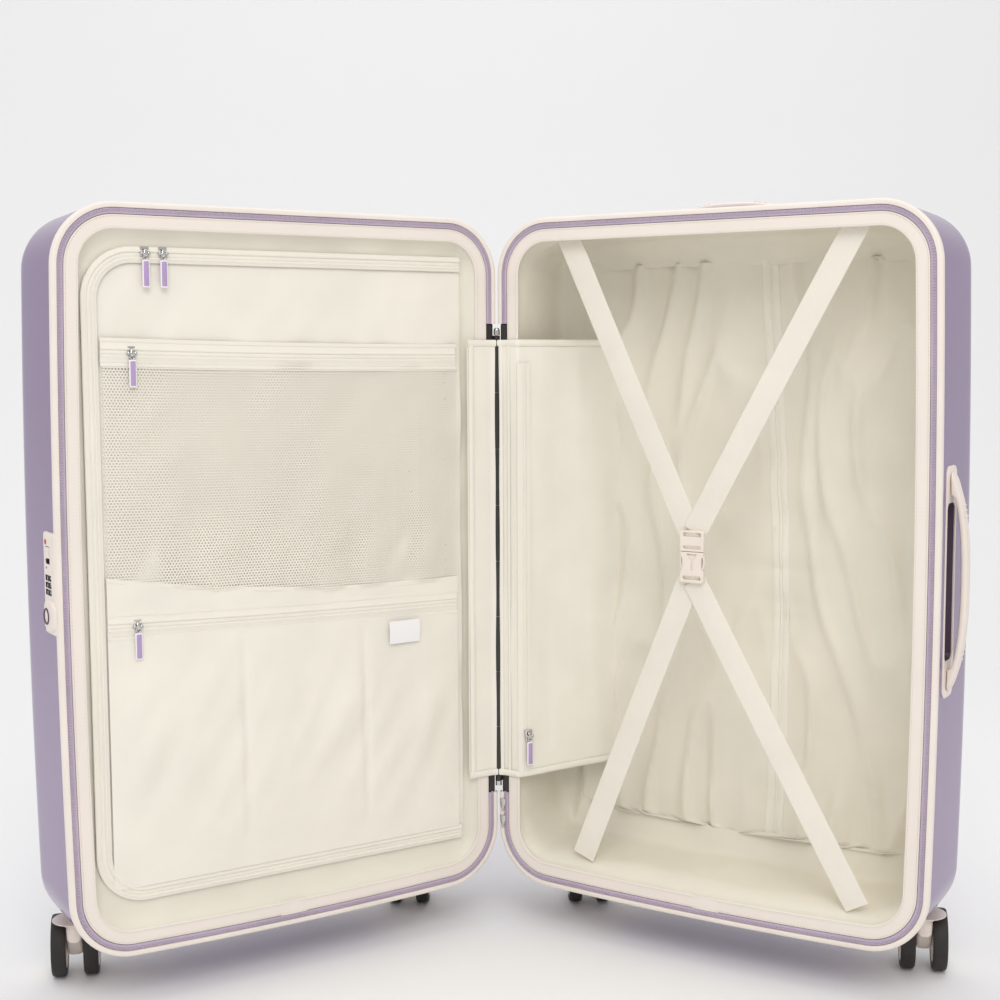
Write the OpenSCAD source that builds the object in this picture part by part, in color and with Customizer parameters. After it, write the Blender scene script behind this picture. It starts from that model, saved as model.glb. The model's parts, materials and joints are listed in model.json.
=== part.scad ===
// Hard shell suitcase with four twin-wheel casters, standing open like a book.
// The back half is the fixed body. X runs from the hinge line to its opening side, Y into its depth
// and Z up from the floor. The origin is on the floor, straight below the hinge line.

/* [Case] */
// Height of the case without its wheels
case_h = 690; // [560:10:800]
// Width of the case, from the hinge side to the opening side
case_w = 456; // [380:2:560]
// Depth of each half, from the parting plane to the broad face
half_depth = 146; // [130:1:180]
// Angle between the two halves as they stand
open_angle = 116; // [70:1:170]
// Corner radius of the case's outline
corner_r = 56; // [48:1:70]
// Rounding from a side wall into the broad face
edge_r = 42; // [30:1:46]
// Thickness of the moulded shell
shell_wall = 2.4; // [1.6:0.2:4]
// Outward bow of the opening side
side_bow = 5; // [0:0.5:8]
// Downward bow of the base
base_bow = 5; // [0:0.5:8]
// Height of the case's base above the floor
ground_gap = 52; // [50:1:70]

/* [Rim] */
// Gap between the hinge line and the case's edge
hinge_gap = 1; // [0.6:0.1:3]
// Clearance from each half to the parting plane
parting_gap = 0.5; // [0.3:0.1:1.5]
// Width of the rim bead
bead_w = 4.6; // [3:0.1:8]
// Depth of the rim bead
bead_t = 6; // [4:0.5:10]
// Width of the visible zip chain
zip_w = 5.4; // [4:0.1:8]
// Width of the lining's lip inside the zip
lip_w = 13; // [8:0.5:16]
// Distance from the case's outline to the lining's walls
lining_inset = 13; // [12:0.5:18]
// Thickness of the lining
lining_t = 1.2; // [0.8:0.1:2]

/* [Hinge] */
// Height of the hinge's lower end above the case's base
hinge_low = 103; // [80:1:140]
// Length of the hinge
hinge_len = 470; // [380:1:560]
// Outer radius of the hinge knuckles
knuckle_r = 3.4; // [2.8:0.1:4]
// Radius of the hinge pin
hinge_pin_r = 1.5; // [1:0.1:2]
// Number of knuckles in the hinge
knuckles = 8; // [4:2:12]
// Width of the fabric flap on the front half
front_flap_w = 32; // [20:1:34]
// Width of the fabric flap inside the back half
back_flap_w = 122; // [80:1:125]

/* [Divider] */
// Distance from the case's outline to the divider's outer edge
divider_inset = 25; // [24:1:40]
// Distance from the top of the case to the divider
divider_top = 38; // [30:1:60]
// Distance from the base of the case to the divider
divider_base = 46; // [34:1:70]
// Corner radius of the divider
divider_r = 48; // [20:1:60]
// Depth of the divider's face behind the parting plane
divider_y = 10.2; // [9.8:0.1:20]
// Thickness of the divider
divider_t = 4; // [2:0.5:6]
// Width of the zip tape round the divider
tape_w = 15; // [10:1:24]
// Height of the mesh pocket's zip above the case's base
mesh_zip_z = 556; // [480:1:600]
// Height of the mesh pocket's lower edge above the case's base
mesh_base_z = 340; // [330:1:420]
// Height of the lower pocket's zip above the case's base
pocket_zip_z = 309; // [200:1:325]

/* [Straps] */
// Width of the packing straps
strap_w = 25; // [16:1:40]
// Thickness of the packing straps
strap_t = 1.6; // [1:0.1:3]
// Depth of the straps behind the parting plane
strap_y = 14; // [10:1:24]
// Width of the buckle across both halves
buckle_w = 52; // [40:1:70]
// Height of the buckle
buckle_h = 42; // [30:1:60]

/* [Trolley] */
// Distance between the two telescopic tubes
tube_spacing = 130; // [110:1:160]
// Width of an outer tube
tube_w = 22; // [18:0.5:26]
// Depth of an outer tube
tube_d = 16; // [12:0.5:17]
// Wall of each tube
tube_wall = 1.4; // [1:0.1:2]
// Sliding clearance between the tubes on each side
tube_gap = 0.3; // [0.15:0.05:0.6]
// Travel of each telescopic stage
stage_travel = 170; // [120:5:200]
// Width of the pull grip
grip_w = 152; // [140:1:180]
// Depth of the pull grip
grip_d = 20; // [16:1:22]
// Height of the pull grip
grip_h = 15; // [12:0.5:18]

/* [Handles] */
// Length of the side handle
side_handle_l = 205; // [150:1:240]
// Length of the top handle
top_handle_l = 132; // [110:1:170]
// Rise of the side handle above its mount
side_handle_rise = 17; // [12:0.5:24]
// Rise of the top handle above its mount
top_handle_rise = 13; // [11:0.5:20]
// Width of a handle's grip
handle_w = 17; // [12:0.5:24]
// Thickness of a handle's grip
handle_t = 6.5; // [5:0.5:10]
// Distance from the parting plane to the side handle
side_handle_y = 36; // [30:1:70]
// Distance from the parting plane to the top handle
top_handle_y = 78; // [40:1:84]
// Depth of the finger recess below a handle
recess_d = 8; // [4:0.5:8]
// Lift of a handle when it is pulled
handle_lift = 6; // [3:0.5:7]

/* [Lock] */
// Height of the lock's plate
lock_h = 93; // [80:1:120]
// Width of the lock's plate
lock_w = 34; // [28:1:44]
// How far the lock's plate stands out of the shell
lock_proud = 2; // [1:0.5:5]
// Radius of a number dial
dial_r = 8; // [6.5:0.1:8.2]
// Thickness of a number dial
dial_t = 5; // [3.5:0.1:5.6]
// Distance between two number dials
dial_pitch = 6.5; // [6.2:0.1:9]
// Radius of the key cylinder
key_r = 5.5; // [4:0.1:7]

/* [Casters] */
// Diameter of a wheel
wheel_d = 60; // [48:1:62]
// Width of one wheel
wheel_w = 14; // [10:0.5:18]
// Gap between the two wheels of a caster
wheel_gap = 17; // [15:0.5:22]
// Distance from a caster's swivel axis to its axle
trail = 20; // [12:0.5:26]
// Thickness of the tyre
tyre_t = 6.5; // [4:0.5:9]
// Radius of the axle
axle_r = 3; // [2:0.1:4]
// Radius of the swivel stem
stem_r = 4; // [3:0.1:5]
// Distance from the hinge line to the inner swivel axis
inner_caster_x = 60; // [56:1:80]
// Distance from the opening side to the outer swivel axis
outer_caster_x = 27; // [20:1:40]
// Distance from the parting plane to the swivel axes
caster_y = 92; // [80:1:92]

/* [Hidden] */
$fn = 64;

lilac = "#A08BA9";
zip_lilac = "#BCADB4";
cream = "#E6DCD4";
lining_cream = "#DDD8CC";
fabric_cream = "#E6E0D4";
black = "#282422";
steel = "#B9B9BB";
alloy = "#C9CACC";

rest_turn = 180 - open_angle;
case_x0 = hinge_gap;
case_x1 = hinge_gap + case_w;
case_z0 = ground_gap;
case_z1 = ground_gap + case_h;
mid_x = (case_x0 + case_x1) / 2;
mid_z = (case_z0 + case_z1) / 2;

// Small gaps between pieces that only meet
fit = 0.2;
running = 0.05;
thin = 0.01;

// The mould's draft, as inset for each millimetre of depth
draft = 0.03;
bead_proud = 0.8;
bead_y1 = parting_gap + bead_t;
zip_x = bead_w + 0.1;
lip_x = zip_x + zip_w + fit;
lip_y = parting_gap + 1.1;
lip_t = 1.4;
tube_room = 34;

// ---------- Outline and lofts ----------

function arc(cx, cz, r, a0, n) =
    [for (i = [0:n]) [cx + r * cos(a0 + 90 * i / n), cz + r * sin(a0 + 90 * i / n)]];
function between(a, b, n) = [for (i = [1:n - 1]) a + (b - a) * i / n];

// Closed outline of the case, moved inwards by an inset, with the base moved further if wanted
function outline(inset, base_extra = 0, steps = 8) =
    let (
        r = max(corner_r - inset, 4),
        x0 = case_x0 + inset,
        x1 = case_x1 - inset,
        z0 = case_z0 + inset + base_extra,
        z1 = case_z1 - inset,
        corners = concat(
            arc(x1 - r, z0 + r, r, -90, steps),
            between([x1, z0 + r], [x1, z1 - r], 8),
            arc(x1 - r, z1 - r, r, 0, steps),
            between([x1 - r, z1], [x0 + r, z1], 4),
            arc(x0 + r, z1 - r, r, 90, steps),
            between([x0, z1 - r], [x0, z0 + r], 2),
            arc(x0 + r, z0 + r, r, 180, steps),
            between([x0 + r, z0], [x1 - r, z0], 6))
    )
    [for (p = corners)
        let (u = (p.x - x0) / (x1 - x0), w = (p.y - z0) / (z1 - z0))
        [p.x + side_bow * u * 4 * w * (1 - w), p.y - base_bow * (1 - w) * 4 * u * (1 - u)]];

// A ring of the outline at a depth, as points in space
function ring(inset, y, base_extra = 0, steps = 8) =
    [for (p = outline(inset, base_extra, steps)) [p.x, y, p.y]];

function middle(points) = [for (k = [0:2]) [for (p = points) p[k]] * [for (p = points) 1] / len(points)];

// Skin between rings in order, closed at both ends, or joined into a loop
module loft(rings, loop = false) {
    n = len(rings[0]);
    m = len(rings);
    last = loop ? m - 1 : m - 2;
    skin = [
        for (i = [0:last], j = [0:n - 1])
            let (a = i * n + j, b = i * n + (j + 1) % n,
                 c = ((i + 1) % m) * n + (j + 1) % n, d = ((i + 1) % m) * n + j)
            each [[a, b, c], [a, c, d]]
    ];
    caps = loop ? [] : [
        for (j = [0:n - 1]) each [
            [(j + 1) % n, j, n * m],
            [(m - 1) * n + j, (m - 1) * n + (j + 1) % n, n * m + 1]]
    ];
    middles = loop ? [] : [middle(rings[0]), middle(rings[m - 1])];
    polyhedron(points = concat([for (r = rings) each r], middles), faces = concat(skin, caps), convexity = 8);
}

// Wall profile of a tray from rim to floor: [inset, depth] with a quarter round at the end
function wall_profile(inset, y0, y1, r, steps = 5) = concat(
    [[inset + draft * y0, y0]],
    [for (i = [0:steps])
        let (a = 90 * i / steps)
        [inset + draft * (y1 - r) + r * (1 - cos(a)), y1 - r + r * sin(a)]]);

function reversed(list) = [for (i = [len(list) - 1:-1:0]) list[i]];

module front_half() {
    rotate([0, 0, rest_turn]) mirror([1, 0, 0]) children();
}

// ---------- Shells, bead, zip and lining ----------

module shell_tray() {
    outer = wall_profile(0, bead_y1, half_depth, edge_r);
    inner = wall_profile(shell_wall, bead_y1, half_depth - shell_wall, edge_r - shell_wall);
    loft([for (p = concat(reversed(outer), inner)) ring(p[0], p[1])]);
}

// Space under the case's lower corners that the casters turn in
well_half = 54;
well_plate = 4;
well_top = wheel_d + 2 + well_plate;
well_y0 = 14;
well_y1 = 46;
caster_x = [inner_caster_x, case_x1 - outer_caster_x];

module well_profile(drop = 0) {
    polygon([
        [well_y0, case_z0 - base_bow - 20], [well_y0, case_z0 - base_bow - drop],
        [well_y1, well_top - drop], [half_depth + 20, well_top - drop],
        [half_depth + 20, case_z0 - base_bow - 20]]);
}

module along_x(x0, x1) {
    translate([x0, 0, 0]) rotate([90, 0, 90]) linear_extrude(x1 - x0) children();
}

module inner_well(side = 0, drop = 0) {
    along_x(-20, inner_caster_x + well_half - side) well_profile(drop);
}

module outer_well(side = 0, drop = 0) {
    along_x(caster_x[1] - well_half + side, case_x1 + 20) well_profile(drop);
}

// Shell with room for the casters, and a shallow seat for each side foot
module shell_with_wells() {
    difference() {
        shell_tray();
        inner_well();
        outer_well();
        for (x = caster_x) translate([x, caster_y, 0]) cylinder(r = boss_r + fit, h = stem_top + fit);
        side_feet(fit);
    }
}

module back_shell() {
    color(lilac) difference() {
        shell_with_wells();
        trolley_opening();
        side_handle_place() mount_cut(side_handle_l);
        top_handle_place() mount_cut(top_handle_l);
    }
}

module front_shell() {
    color(lilac) front_half() difference() {
        shell_with_wells();
        lock_recess();
    }
}

module hinge_clearance() {
    translate([-5, -5, case_z0 + hinge_low - 12]) cube([5 + rail_x1, 5 + bead_y1 + thin, hinge_len + 24]);
}

module bead() {
    profile = [
        [-bead_proud, parting_gap + 2.4], [0.4, parting_gap + 0.2], [bead_w - 0.4, parting_gap],
        [bead_w, parting_gap + 0.4], [bead_w, bead_y1 - thin], [-bead_proud, bead_y1 - thin]
    ];
    difference() {
        loft([for (p = profile) ring(p[0], p[1])], loop = true);
        hinge_clearance();
    }
}

module zip_ring() {
    profile = [
        [zip_x, parting_gap], [zip_x + zip_w, parting_gap],
        [zip_x + zip_w, parting_gap + 2.5], [zip_x, parting_gap + 2.5]
    ];
    difference() {
        loft([for (p = profile) ring(p[0], p[1])], loop = true);
        hinge_clearance();
    }
}

module back_bead() { color(cream) bead(); }
module back_zip() { color(zip_lilac) zip_ring(); }
module front_bead() {
    color(cream) front_half() difference() {
        bead();
        lock_recess();
    }
}
module front_zip() {
    color(zip_lilac) front_half() difference() {
        zip_ring();
        lock_recess();
    }
}

// Fabric tray with a flat lip round its mouth
lining_base = 16;
module lining_tray(back) {
    r = edge_r - lining_inset;
    outer = wall_profile(lining_inset, 9, back, r, 4);
    inner = wall_profile(lining_inset + lining_t, 9, back - lining_t, r - lining_t, 4);
    inner_lip = lip_x + lip_w;
    loft(concat(
        [for (p = reversed(outer)) ring(p[0], p[1], lining_base, 6)],
        [ring(lip_x, lip_y + lip_t, 0, 6), ring(lip_x, lip_y, 0, 6),
         ring(inner_lip, lip_y, 0, 6), ring(inner_lip, lip_y + lip_t, 0, 6)],
        [for (p = inner) ring(p[0], p[1], lining_base, 6)]));
}

module back_lining() { color(lining_cream) lining_tray(half_depth - tube_room); }
module front_lining() {
    color(lining_cream) front_half() difference() {
        lining_tray(half_depth - shell_wall - 2);
        lock_recess();
    }
}

// ---------- Hinge ----------

rail_x0 = knuckle_r + 0.5;
rail_x1 = zip_x + zip_w + hinge_gap;
rail_y0 = parting_gap + 1.1;
knuckle_gap = 0.4;
knuckle_l = hinge_len / knuckles;

module hinge_rail(first) {
    z0 = case_z0 + hinge_low;
    difference() {
        union() {
            translate([rail_x0, rail_y0, z0 - 11])
                cube([rail_x1 - rail_x0 - fit, bead_y1 - rail_y0 - 0.1, hinge_len + 22]);
            for (i = [first:2:knuckles - 1]) {
                z = z0 + i * knuckle_l + knuckle_gap / 2;
                translate([0, 0, z]) cylinder(r = knuckle_r, h = knuckle_l - knuckle_gap);
                translate([0, rail_y0, z]) cube([rail_x0 + 1, knuckle_r - rail_y0, knuckle_l - knuckle_gap]);
            }
        }
        translate([0, 0, z0 - 20]) cylinder(r = hinge_pin_r + running, h = hinge_len + 40);
    }
}

module back_hinge_rail() { color(black) hinge_rail(0); }
module front_hinge_rail() { color(black) front_half() hinge_rail(1); }

module hinge_pin() {
    z0 = case_z0 + hinge_low;
    color(black) union() {
        translate([0, 0, z0 - 2]) cylinder(r = hinge_pin_r, h = hinge_len + 4);
        translate([0, 0, z0 - 5]) cylinder(r = knuckle_r - 0.2, h = 4.8);
        translate([0, 0, z0 + hinge_len + 0.2]) cylinder(r = knuckle_r - 0.2, h = 4.8);
        translate([0, 0, z0 + hinge_len + 5]) sphere(r = knuckle_r - 0.2);
    }
}

// The two ends of the case's main zip, parked below the hinge in the gap between the halves
main_slider_w = 6.4;
main_slider_l = 14;
module main_zip_sliders() {
    color(steel) for (i = [1, 2])
        translate([zip_x, 0.3, case_z0 + hinge_low - 15 - i * (main_slider_l + 4)]) rotate([90, 0, 0])
            linear_extrude(0.6) polygon([
                [-main_slider_w / 2, 5], [0, 0], [main_slider_w / 2, 5],
                [main_slider_w / 2, main_slider_l], [-main_slider_w / 2, main_slider_l]]);
}

// Fabric flap over the hinge
flap_t = 0.8;
flap_z0 = case_z0 + 110;
flap_h = 458;
flap_bend = 25;
flap_angle = 58.6;
module front_flap() {
    color(fabric_cream) front_half()
        translate([rail_x0 + 0.3, parting_gap, flap_z0]) cube([front_flap_w, flap_t, flap_h]);
}

module back_flap() {
    color(fabric_cream) {
        translate([rail_x0 + 0.3, parting_gap, flap_z0]) cube([flap_bend - rail_x0 - 0.3, flap_t, flap_h]);
        flap_place(0) translate([-thin, -flap_t, 0]) cube([back_flap_w, flap_t, flap_h]);
    }
}

// Places a piece on the slanted stretch of the flap, which starts at the lip's inner edge
module flap_place(along, z = 0) {
    translate([flap_bend, parting_gap + flap_t, flap_z0 + z]) rotate([0, 0, flap_angle])
        translate([along, 0, 0]) children();
}

// ---------- Divider and pockets ----------

div_x0 = 42;
div_x1 = case_x1 - divider_inset;
div_z0 = case_z0 + divider_base;
div_z1 = case_z1 - divider_top;

// Distance from the divider's outer edge to its second slider, which stays parked
parked_slider = 68;

// Piping that the divider is hinged along
piping_r = 1.8;

// Upright plate in the X-Z plane with rounded corners at the opening side
module divider_plate(inset, y, t) {
    x1 = div_x1 - inset;
    z0 = div_z0 + inset;
    z1 = div_z1 - inset;
    r = divider_r - inset;
    translate([0, y + t, 0]) rotate([90, 0, 0]) linear_extrude(t) union() {
        translate([div_x0, z0]) square([x1 - r - div_x0, z1 - z0]);
        translate([x1 - r - thin, z0 + r]) square([r + thin, z1 - z0 - 2 * r]);
        translate([x1 - r, z0 + r]) circle(r);
        translate([x1 - r, z1 - r]) circle(r);
    }
}

module divider_panel() {
    color(fabric_cream) front_half() union() {
        divider_plate(0, divider_y + 0.8, divider_t);
        difference() {
            divider_plate(0, divider_y, 0.9);
            divider_plate(tape_w, divider_y - 1, 3);
        }
        translate([div_x1 - parked_slider, divider_y - 3.6, div_z1 - 12]) cube([9, 3.7, 12]);
        translate([div_x0 - 1, divider_y + 0.8 + divider_t / 2, div_z0])
            cylinder(r = piping_r, h = div_z1 - div_z0);
    }
}

pocket_t = 1;
pocket_x1 = div_x1 - tape_w - 8;
pocket_margin = 4;
module pocket_sheet(z0, z1) {
    intersection() {
        translate([div_x0 + 3, divider_y - 1, case_z0 + z0]) cube([pocket_x1 - div_x0 - 3, 3, z1 - z0]);
        divider_plate(tape_w + pocket_margin / 2, divider_y - 0.4, pocket_t);
    }
}
module mesh_pocket() { color(fabric_cream) front_half() pocket_sheet(mesh_base_z, mesh_zip_z + 12); }
module zip_pocket() {
    color(fabric_cream) front_half() pocket_sheet(divider_base + tape_w + pocket_margin, pocket_zip_z + 12);
}

// Zip slider on a panel that faces -Y, with ears that carry the puller's pin
pin_out = 6;
puller_pin_r = 0.8;
module slider() {
    color(steel) union() {
        translate([-4.5, -3.6, -6]) cube([9, 3.3, 12]);
        for (x = [-4, 2.6]) translate([x, -7.4, -2.2]) cube([1.4, 3.9, 4.4]);
        translate([-4, -pin_out, 0]) rotate([0, 90, 0]) cylinder(r = puller_pin_r, h = 8);
    }
}

module puller() {
    color(lilac) difference() {
        union() {
            translate([-2.3, -pin_out, 0]) rotate([0, 90, 0]) cylinder(r = 2, h = 4.6);
            translate([-2.3, -pin_out - 0.9, -8]) cube([4.6, 1.8, 8]);
            translate([-3.6, -pin_out - 1.1, -30]) cube([7.2, 2.2, 23]);
        }
        translate([-5, -pin_out, 0]) rotate([0, 90, 0]) cylinder(r = puller_pin_r + running, h = 10);
    }
}

slider_y = divider_y - 0.6;
module divider_slider_place() {
    front_half() translate([div_x1 - 77, divider_y - thin, div_z1 - 6]) children();
}
module mesh_slider_place() {
    front_half() translate([pocket_x1 - 22, slider_y, case_z0 + mesh_zip_z]) children();
}
module pocket_slider_place() {
    front_half() translate([pocket_x1 - 21, slider_y, case_z0 + pocket_zip_z - 3]) children();
}
flap_zip_along = 9;
module flap_slider_place() {
    flap_place(flap_zip_along, 44) translate([0, -flap_t - 0.2, 0]) children();
}
module divider_slider() { divider_slider_place() slider(); }
module divider_puller() { divider_slider_place() puller(); }
module mesh_slider() { mesh_slider_place() slider(); }
module mesh_puller() { mesh_slider_place() puller(); }
module pocket_slider() { pocket_slider_place() slider(); }
module pocket_puller() { pocket_slider_place() puller(); }
module flap_slider() { flap_slider_place() slider(); }
module flap_puller() { flap_slider_place() puller(); }

// ---------- Packing straps ----------

buckle_x = mid_x - 14;
buckle_z = mid_z + 10;
strap_top = case_z1 - lining_inset - lining_t - draft * (strap_y + strap_t) - 0.6;
strap_base = case_z0 + lining_inset + lining_base + lining_t + draft * (strap_y + strap_t) + 0.6;
// Places of the straps' anchors, from the near side of the case: top and base
hinge_anchor = [74, 93];
outer_anchor = [78, 69];
strap_tuck = 6;

// Strap from an anchor to the buckle, cut level at the anchor's end
module strap(from, to) {
    v = to - from;
    overrun = strap_w;
    intersection() {
        translate([from.x, strap_y, from.y]) rotate([0, -atan2(v.y, v.x), 0])
            translate([-overrun, 0, -strap_w / 2]) cube([norm(v) + overrun, strap_t, strap_w]);
        translate([case_x0, 0, strap_base]) cube([case_w, half_depth, strap_top - strap_base]);
    }
}

module strap_pair(anchor_x, end) {
    color(fabric_cream) {
        strap([anchor_x[0], strap_top], [end.x, end.y + 9]);
        strap([anchor_x[1], strap_base], [end.x, end.y - 9]);
    }
}

module hinge_side_straps() {
    strap_pair([for (x = hinge_anchor) case_x0 + x], [buckle_x - buckle_w / 2 + strap_tuck, buckle_z]);
}

module outer_side_straps() {
    strap_pair([for (x = outer_anchor) case_x1 - x], [buckle_x + buckle_w / 2 - strap_tuck, buckle_z]);
}

prong_w = 20;
prong_h = 22;
module buckle_socket() {
    color(cream) difference() {
        translate([buckle_x - buckle_w / 2 + 4, strap_y - 6, buckle_z - buckle_h / 2])
            cube([buckle_w / 2 + 4, 5.6, buckle_h]);
        translate([buckle_x - 12, strap_y - 4.8, buckle_z - prong_h / 2 - fit])
            cube([buckle_w, 3.2, prong_h + 2 * fit]);
    }
}

module buckle_plug() {
    color(cream) union() {
        translate([buckle_x + 8.6, strap_y - 6, buckle_z - buckle_h / 2])
            cube([buckle_w / 2 - 12, 5.6, buckle_h]);
        translate([buckle_x + 9 - prong_w, strap_y - 4.5, buckle_z - prong_h / 2])
            cube([prong_w, 2.6, prong_h]);
    }
}

// ---------- Trolley ----------

housing_front = 13;
tube_y = half_depth - tube_room + housing_front;
tube_z0 = case_z0 + 20;
housing_h = 40;
housing_z0 = case_z1 - draft * half_depth - housing_h;
housing_w = grip_w + 10;
mid_w = tube_w - 2 * tube_wall - 2 * tube_gap;
mid_d = tube_d - 2 * tube_wall - 2 * tube_gap;
in_w = mid_w - 2 * tube_wall - 2 * tube_gap;
in_d = mid_d - 2 * tube_wall - 2 * tube_gap;

// The grip's top stays inside the round edge of the shell
grip_reach = max(tube_y + grip_d / 2 - half_depth + edge_r, 0);
grip_top = case_z1 - draft * half_depth - edge_r + sqrt(edge_r * edge_r - grip_reach * grip_reach) - 2;

module at_tubes() {
    for (s = [-1, 1]) translate([mid_x + s * tube_spacing / 2, tube_y, 0]) children();
}

module rounded_bar(w, d, h, r = 3) {
    linear_extrude(h) union() {
        square([w - 2 * r, d], center = true);
        square([w, d - 2 * r], center = true);
        for (x = [-1, 1], y = [-1, 1]) translate([x * (w / 2 - r), y * (d / 2 - r)]) circle(r);
    }
}

module tube(w, d, z0, z1, bore) {
    translate([0, 0, z0]) difference() {
        rounded_bar(w, d, z1 - z0);
        if (bore) translate([0, 0, -1])
            rounded_bar(w - 2 * tube_wall, d - 2 * tube_wall, z1 - z0 + 2, 3 - tube_wall);
    }
}

module trolley_outer_tubes() {
    color(alloy) at_tubes() tube(tube_w, tube_d, tube_z0, housing_z0 - fit, true);
}
module trolley_middle_tubes() {
    color(alloy) at_tubes() tube(mid_w, mid_d, tube_z0 + 20, housing_z0 + 3, true);
}
module trolley_inner_tubes() {
    color(alloy) at_tubes() tube(in_w, in_d, tube_z0 + 40, grip_top - grip_h + 3, false);
}

// Upright section of the trolley's housing, which follows the round edge of the shell
module housing_section() {
    intersection() {
        translate([tube_y - housing_front, housing_z0]) square([half_depth, housing_h + 20]);
        union() {
            square([half_depth - edge_r, case_z1 - 2]);
            translate([half_depth - edge_r, case_z1 - edge_r - draft * half_depth + 0.5]) circle(edge_r - 0.5);
            square([half_depth - 0.5, case_z1 - edge_r]);
        }
    }
}

// Cut through the shell's round edge, a small gap wider than the housing
module trolley_opening() {
    translate([mid_x - housing_w / 2 - fit, tube_y - housing_front - fit, housing_z0 - fit])
        cube([housing_w + 2 * fit, half_depth, housing_h + 20]);
}

module trolley_housing() {
    color(cream) difference() {
        along_x(mid_x - housing_w / 2, mid_x + housing_w / 2) housing_section();
        translate([mid_x - grip_w / 2 - 2, tube_y - grip_d / 2 - 1, housing_z0 + 4])
            cube([grip_w + 4, half_depth, 60]);
        at_tubes() translate([0, 0, housing_z0 - 1])
            rounded_bar(mid_w + 2 * tube_gap, mid_d + 2 * tube_gap, 20);
    }
}

button_w = 44;
button_d = 9;
button_travel = 3;
module trolley_grip() {
    color(cream) difference() {
        translate([mid_x, tube_y, grip_top - grip_h]) rounded_bar(grip_w, grip_d, grip_h, 8);
        at_tubes() translate([0, 0, grip_top - grip_h - 1]) rounded_bar(in_w, in_d, 4 + thin);
        translate([mid_x, tube_y, grip_top - 2 - button_travel])
            rounded_bar(button_w + 2 * fit, button_d + 2 * fit, 20, 4);
    }
}
module trolley_button() {
    color(cream) translate([mid_x, tube_y, grip_top - 1.5]) rounded_bar(button_w, button_d, 2.5, 3.8);
}

// ---------- Carry handles ----------

mount_t = 2.4;
mount_w = 32;
post_r = 4;
post_inset = 13;
recess_inset = 30;

// A handle's own frame: X along the handle, Z out of the case, with the shell's face at Z = 0
module side_handle_place() {
    translate([case_x1 + side_bow - draft * side_handle_y, side_handle_y, mid_z])
        rotate([0, 90, 0]) children();
}
module top_handle_place() {
    translate([mid_x, top_handle_y, case_z1 - draft * top_handle_y]) children();
}

module mount_cut(l) {
    for (s = [-1, 1]) translate([s * (l / 2 - post_inset), 0, -12]) cylinder(r = post_r + 1, h = 14);
    translate([-l / 2 - 4 - fit, -mount_w / 2 - fit, -1.2]) cube([l + 8 + 2 * fit, mount_w + 2 * fit, 20]);
    translate([-l / 2 + recess_inset - fit, -mount_w / 2 + 3 - fit, -recess_d - fit])
        cube([l - 2 * recess_inset + 2 * fit, mount_w - 6 + 2 * fit, 20]);
}

module handle_mount(l) {
    difference() {
        union() {
            translate([-l / 2 - 4, -mount_w / 2, -1]) cube([l + 8, mount_w, mount_t]);
            translate([-l / 2 + recess_inset, -mount_w / 2 + 3, -recess_d])
                cube([l - 2 * recess_inset, mount_w - 6, recess_d]);
        }
        translate([-l / 2 + recess_inset + 2, -mount_w / 2 + 5, 2 - recess_d])
            cube([l - 2 * recess_inset - 4, mount_w - 10, 40]);
        for (s = [-1, 1]) translate([s * (l / 2 - post_inset), 0, -2])
            cylinder(r = post_r + 2 * running, h = 10);
    }
}

module grip(l, rise) {
    span = l / 2;
    chord = span - 18;
    arc_r = (chord * chord + rise * rise) / (2 * rise);
    top = mount_t - 1 + rise;
    base = mount_t - 0.9;
    translate([0, handle_w / 2, 0]) rotate([90, 0, 0]) linear_extrude(handle_w) difference() {
        union() {
            intersection() {
                translate([0, top - arc_r]) circle(arc_r, $fn = 180);
                translate([-span + 4, base]) square([2 * span - 8, rise + 2]);
            }
            for (s = [-1, 1]) {
                translate([s * (span - 14), base + 2.5]) square([20, 5], center = true);
                translate([s * (span - 4), base + 2.5]) circle(2.5);
            }
        }
        intersection() {
            translate([0, top - handle_t - arc_r]) circle(arc_r, $fn = 180);
            translate([-span + 30, -10]) square([2 * span - 60, 60]);
        }
    }
    for (s = [-1, 1]) translate([s * (l / 2 - post_inset), 0, -1 - handle_lift])
        cylinder(r = post_r, h = base + 3 + handle_lift);
}

module handle_mounts() {
    color(cream) {
        side_handle_place() handle_mount(side_handle_l);
        top_handle_place() handle_mount(top_handle_l);
    }
}
module side_handle() { color(cream) side_handle_place() grip(side_handle_l, side_handle_rise); }
module top_handle() { color(cream) top_handle_place() grip(top_handle_l, top_handle_rise); }

// ---------- Lock ----------

lock_y0 = parting_gap + 0.3;
lock_x1 = case_x1 + side_bow + lock_proud;
lock_z0 = mid_z - lock_h / 2 + 5;
lock_y = lock_y0 + lock_w / 2 + 4;
lock_deep = 19;
dial_x = lock_x1 - dial_r + 0.7;
dial_shaft_r = 1.5;
dial_z = lock_z0 + 45;

// Recess that the lock sits in, open at the parting plane
module lock_recess() {
    translate([lock_x1 - lock_deep - fit, -2, lock_z0 - fit])
        cube([lock_deep + 10, lock_y0 + lock_w + fit + 2, lock_h + 2 * fit]);
}

button_slot = 16;
button_deep = 5;
lock_button_w = 10;
lock_button_l = 10;
key_slot = 1.2;
key_z = lock_z0 + 17;
button_z = lock_z0 + 64;
key_boss_h = 28;
dial_gap = 0.4;
module lock_case() {
    color(cream) front_half() lock_body();
    color(steel) front_half() translate([dial_x, lock_y, dial_z - dial_pitch * 1.5 - dial_gap])
        cylinder(r = dial_shaft_r - running, h = 3 * dial_pitch + 2 * dial_gap);
}

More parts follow.
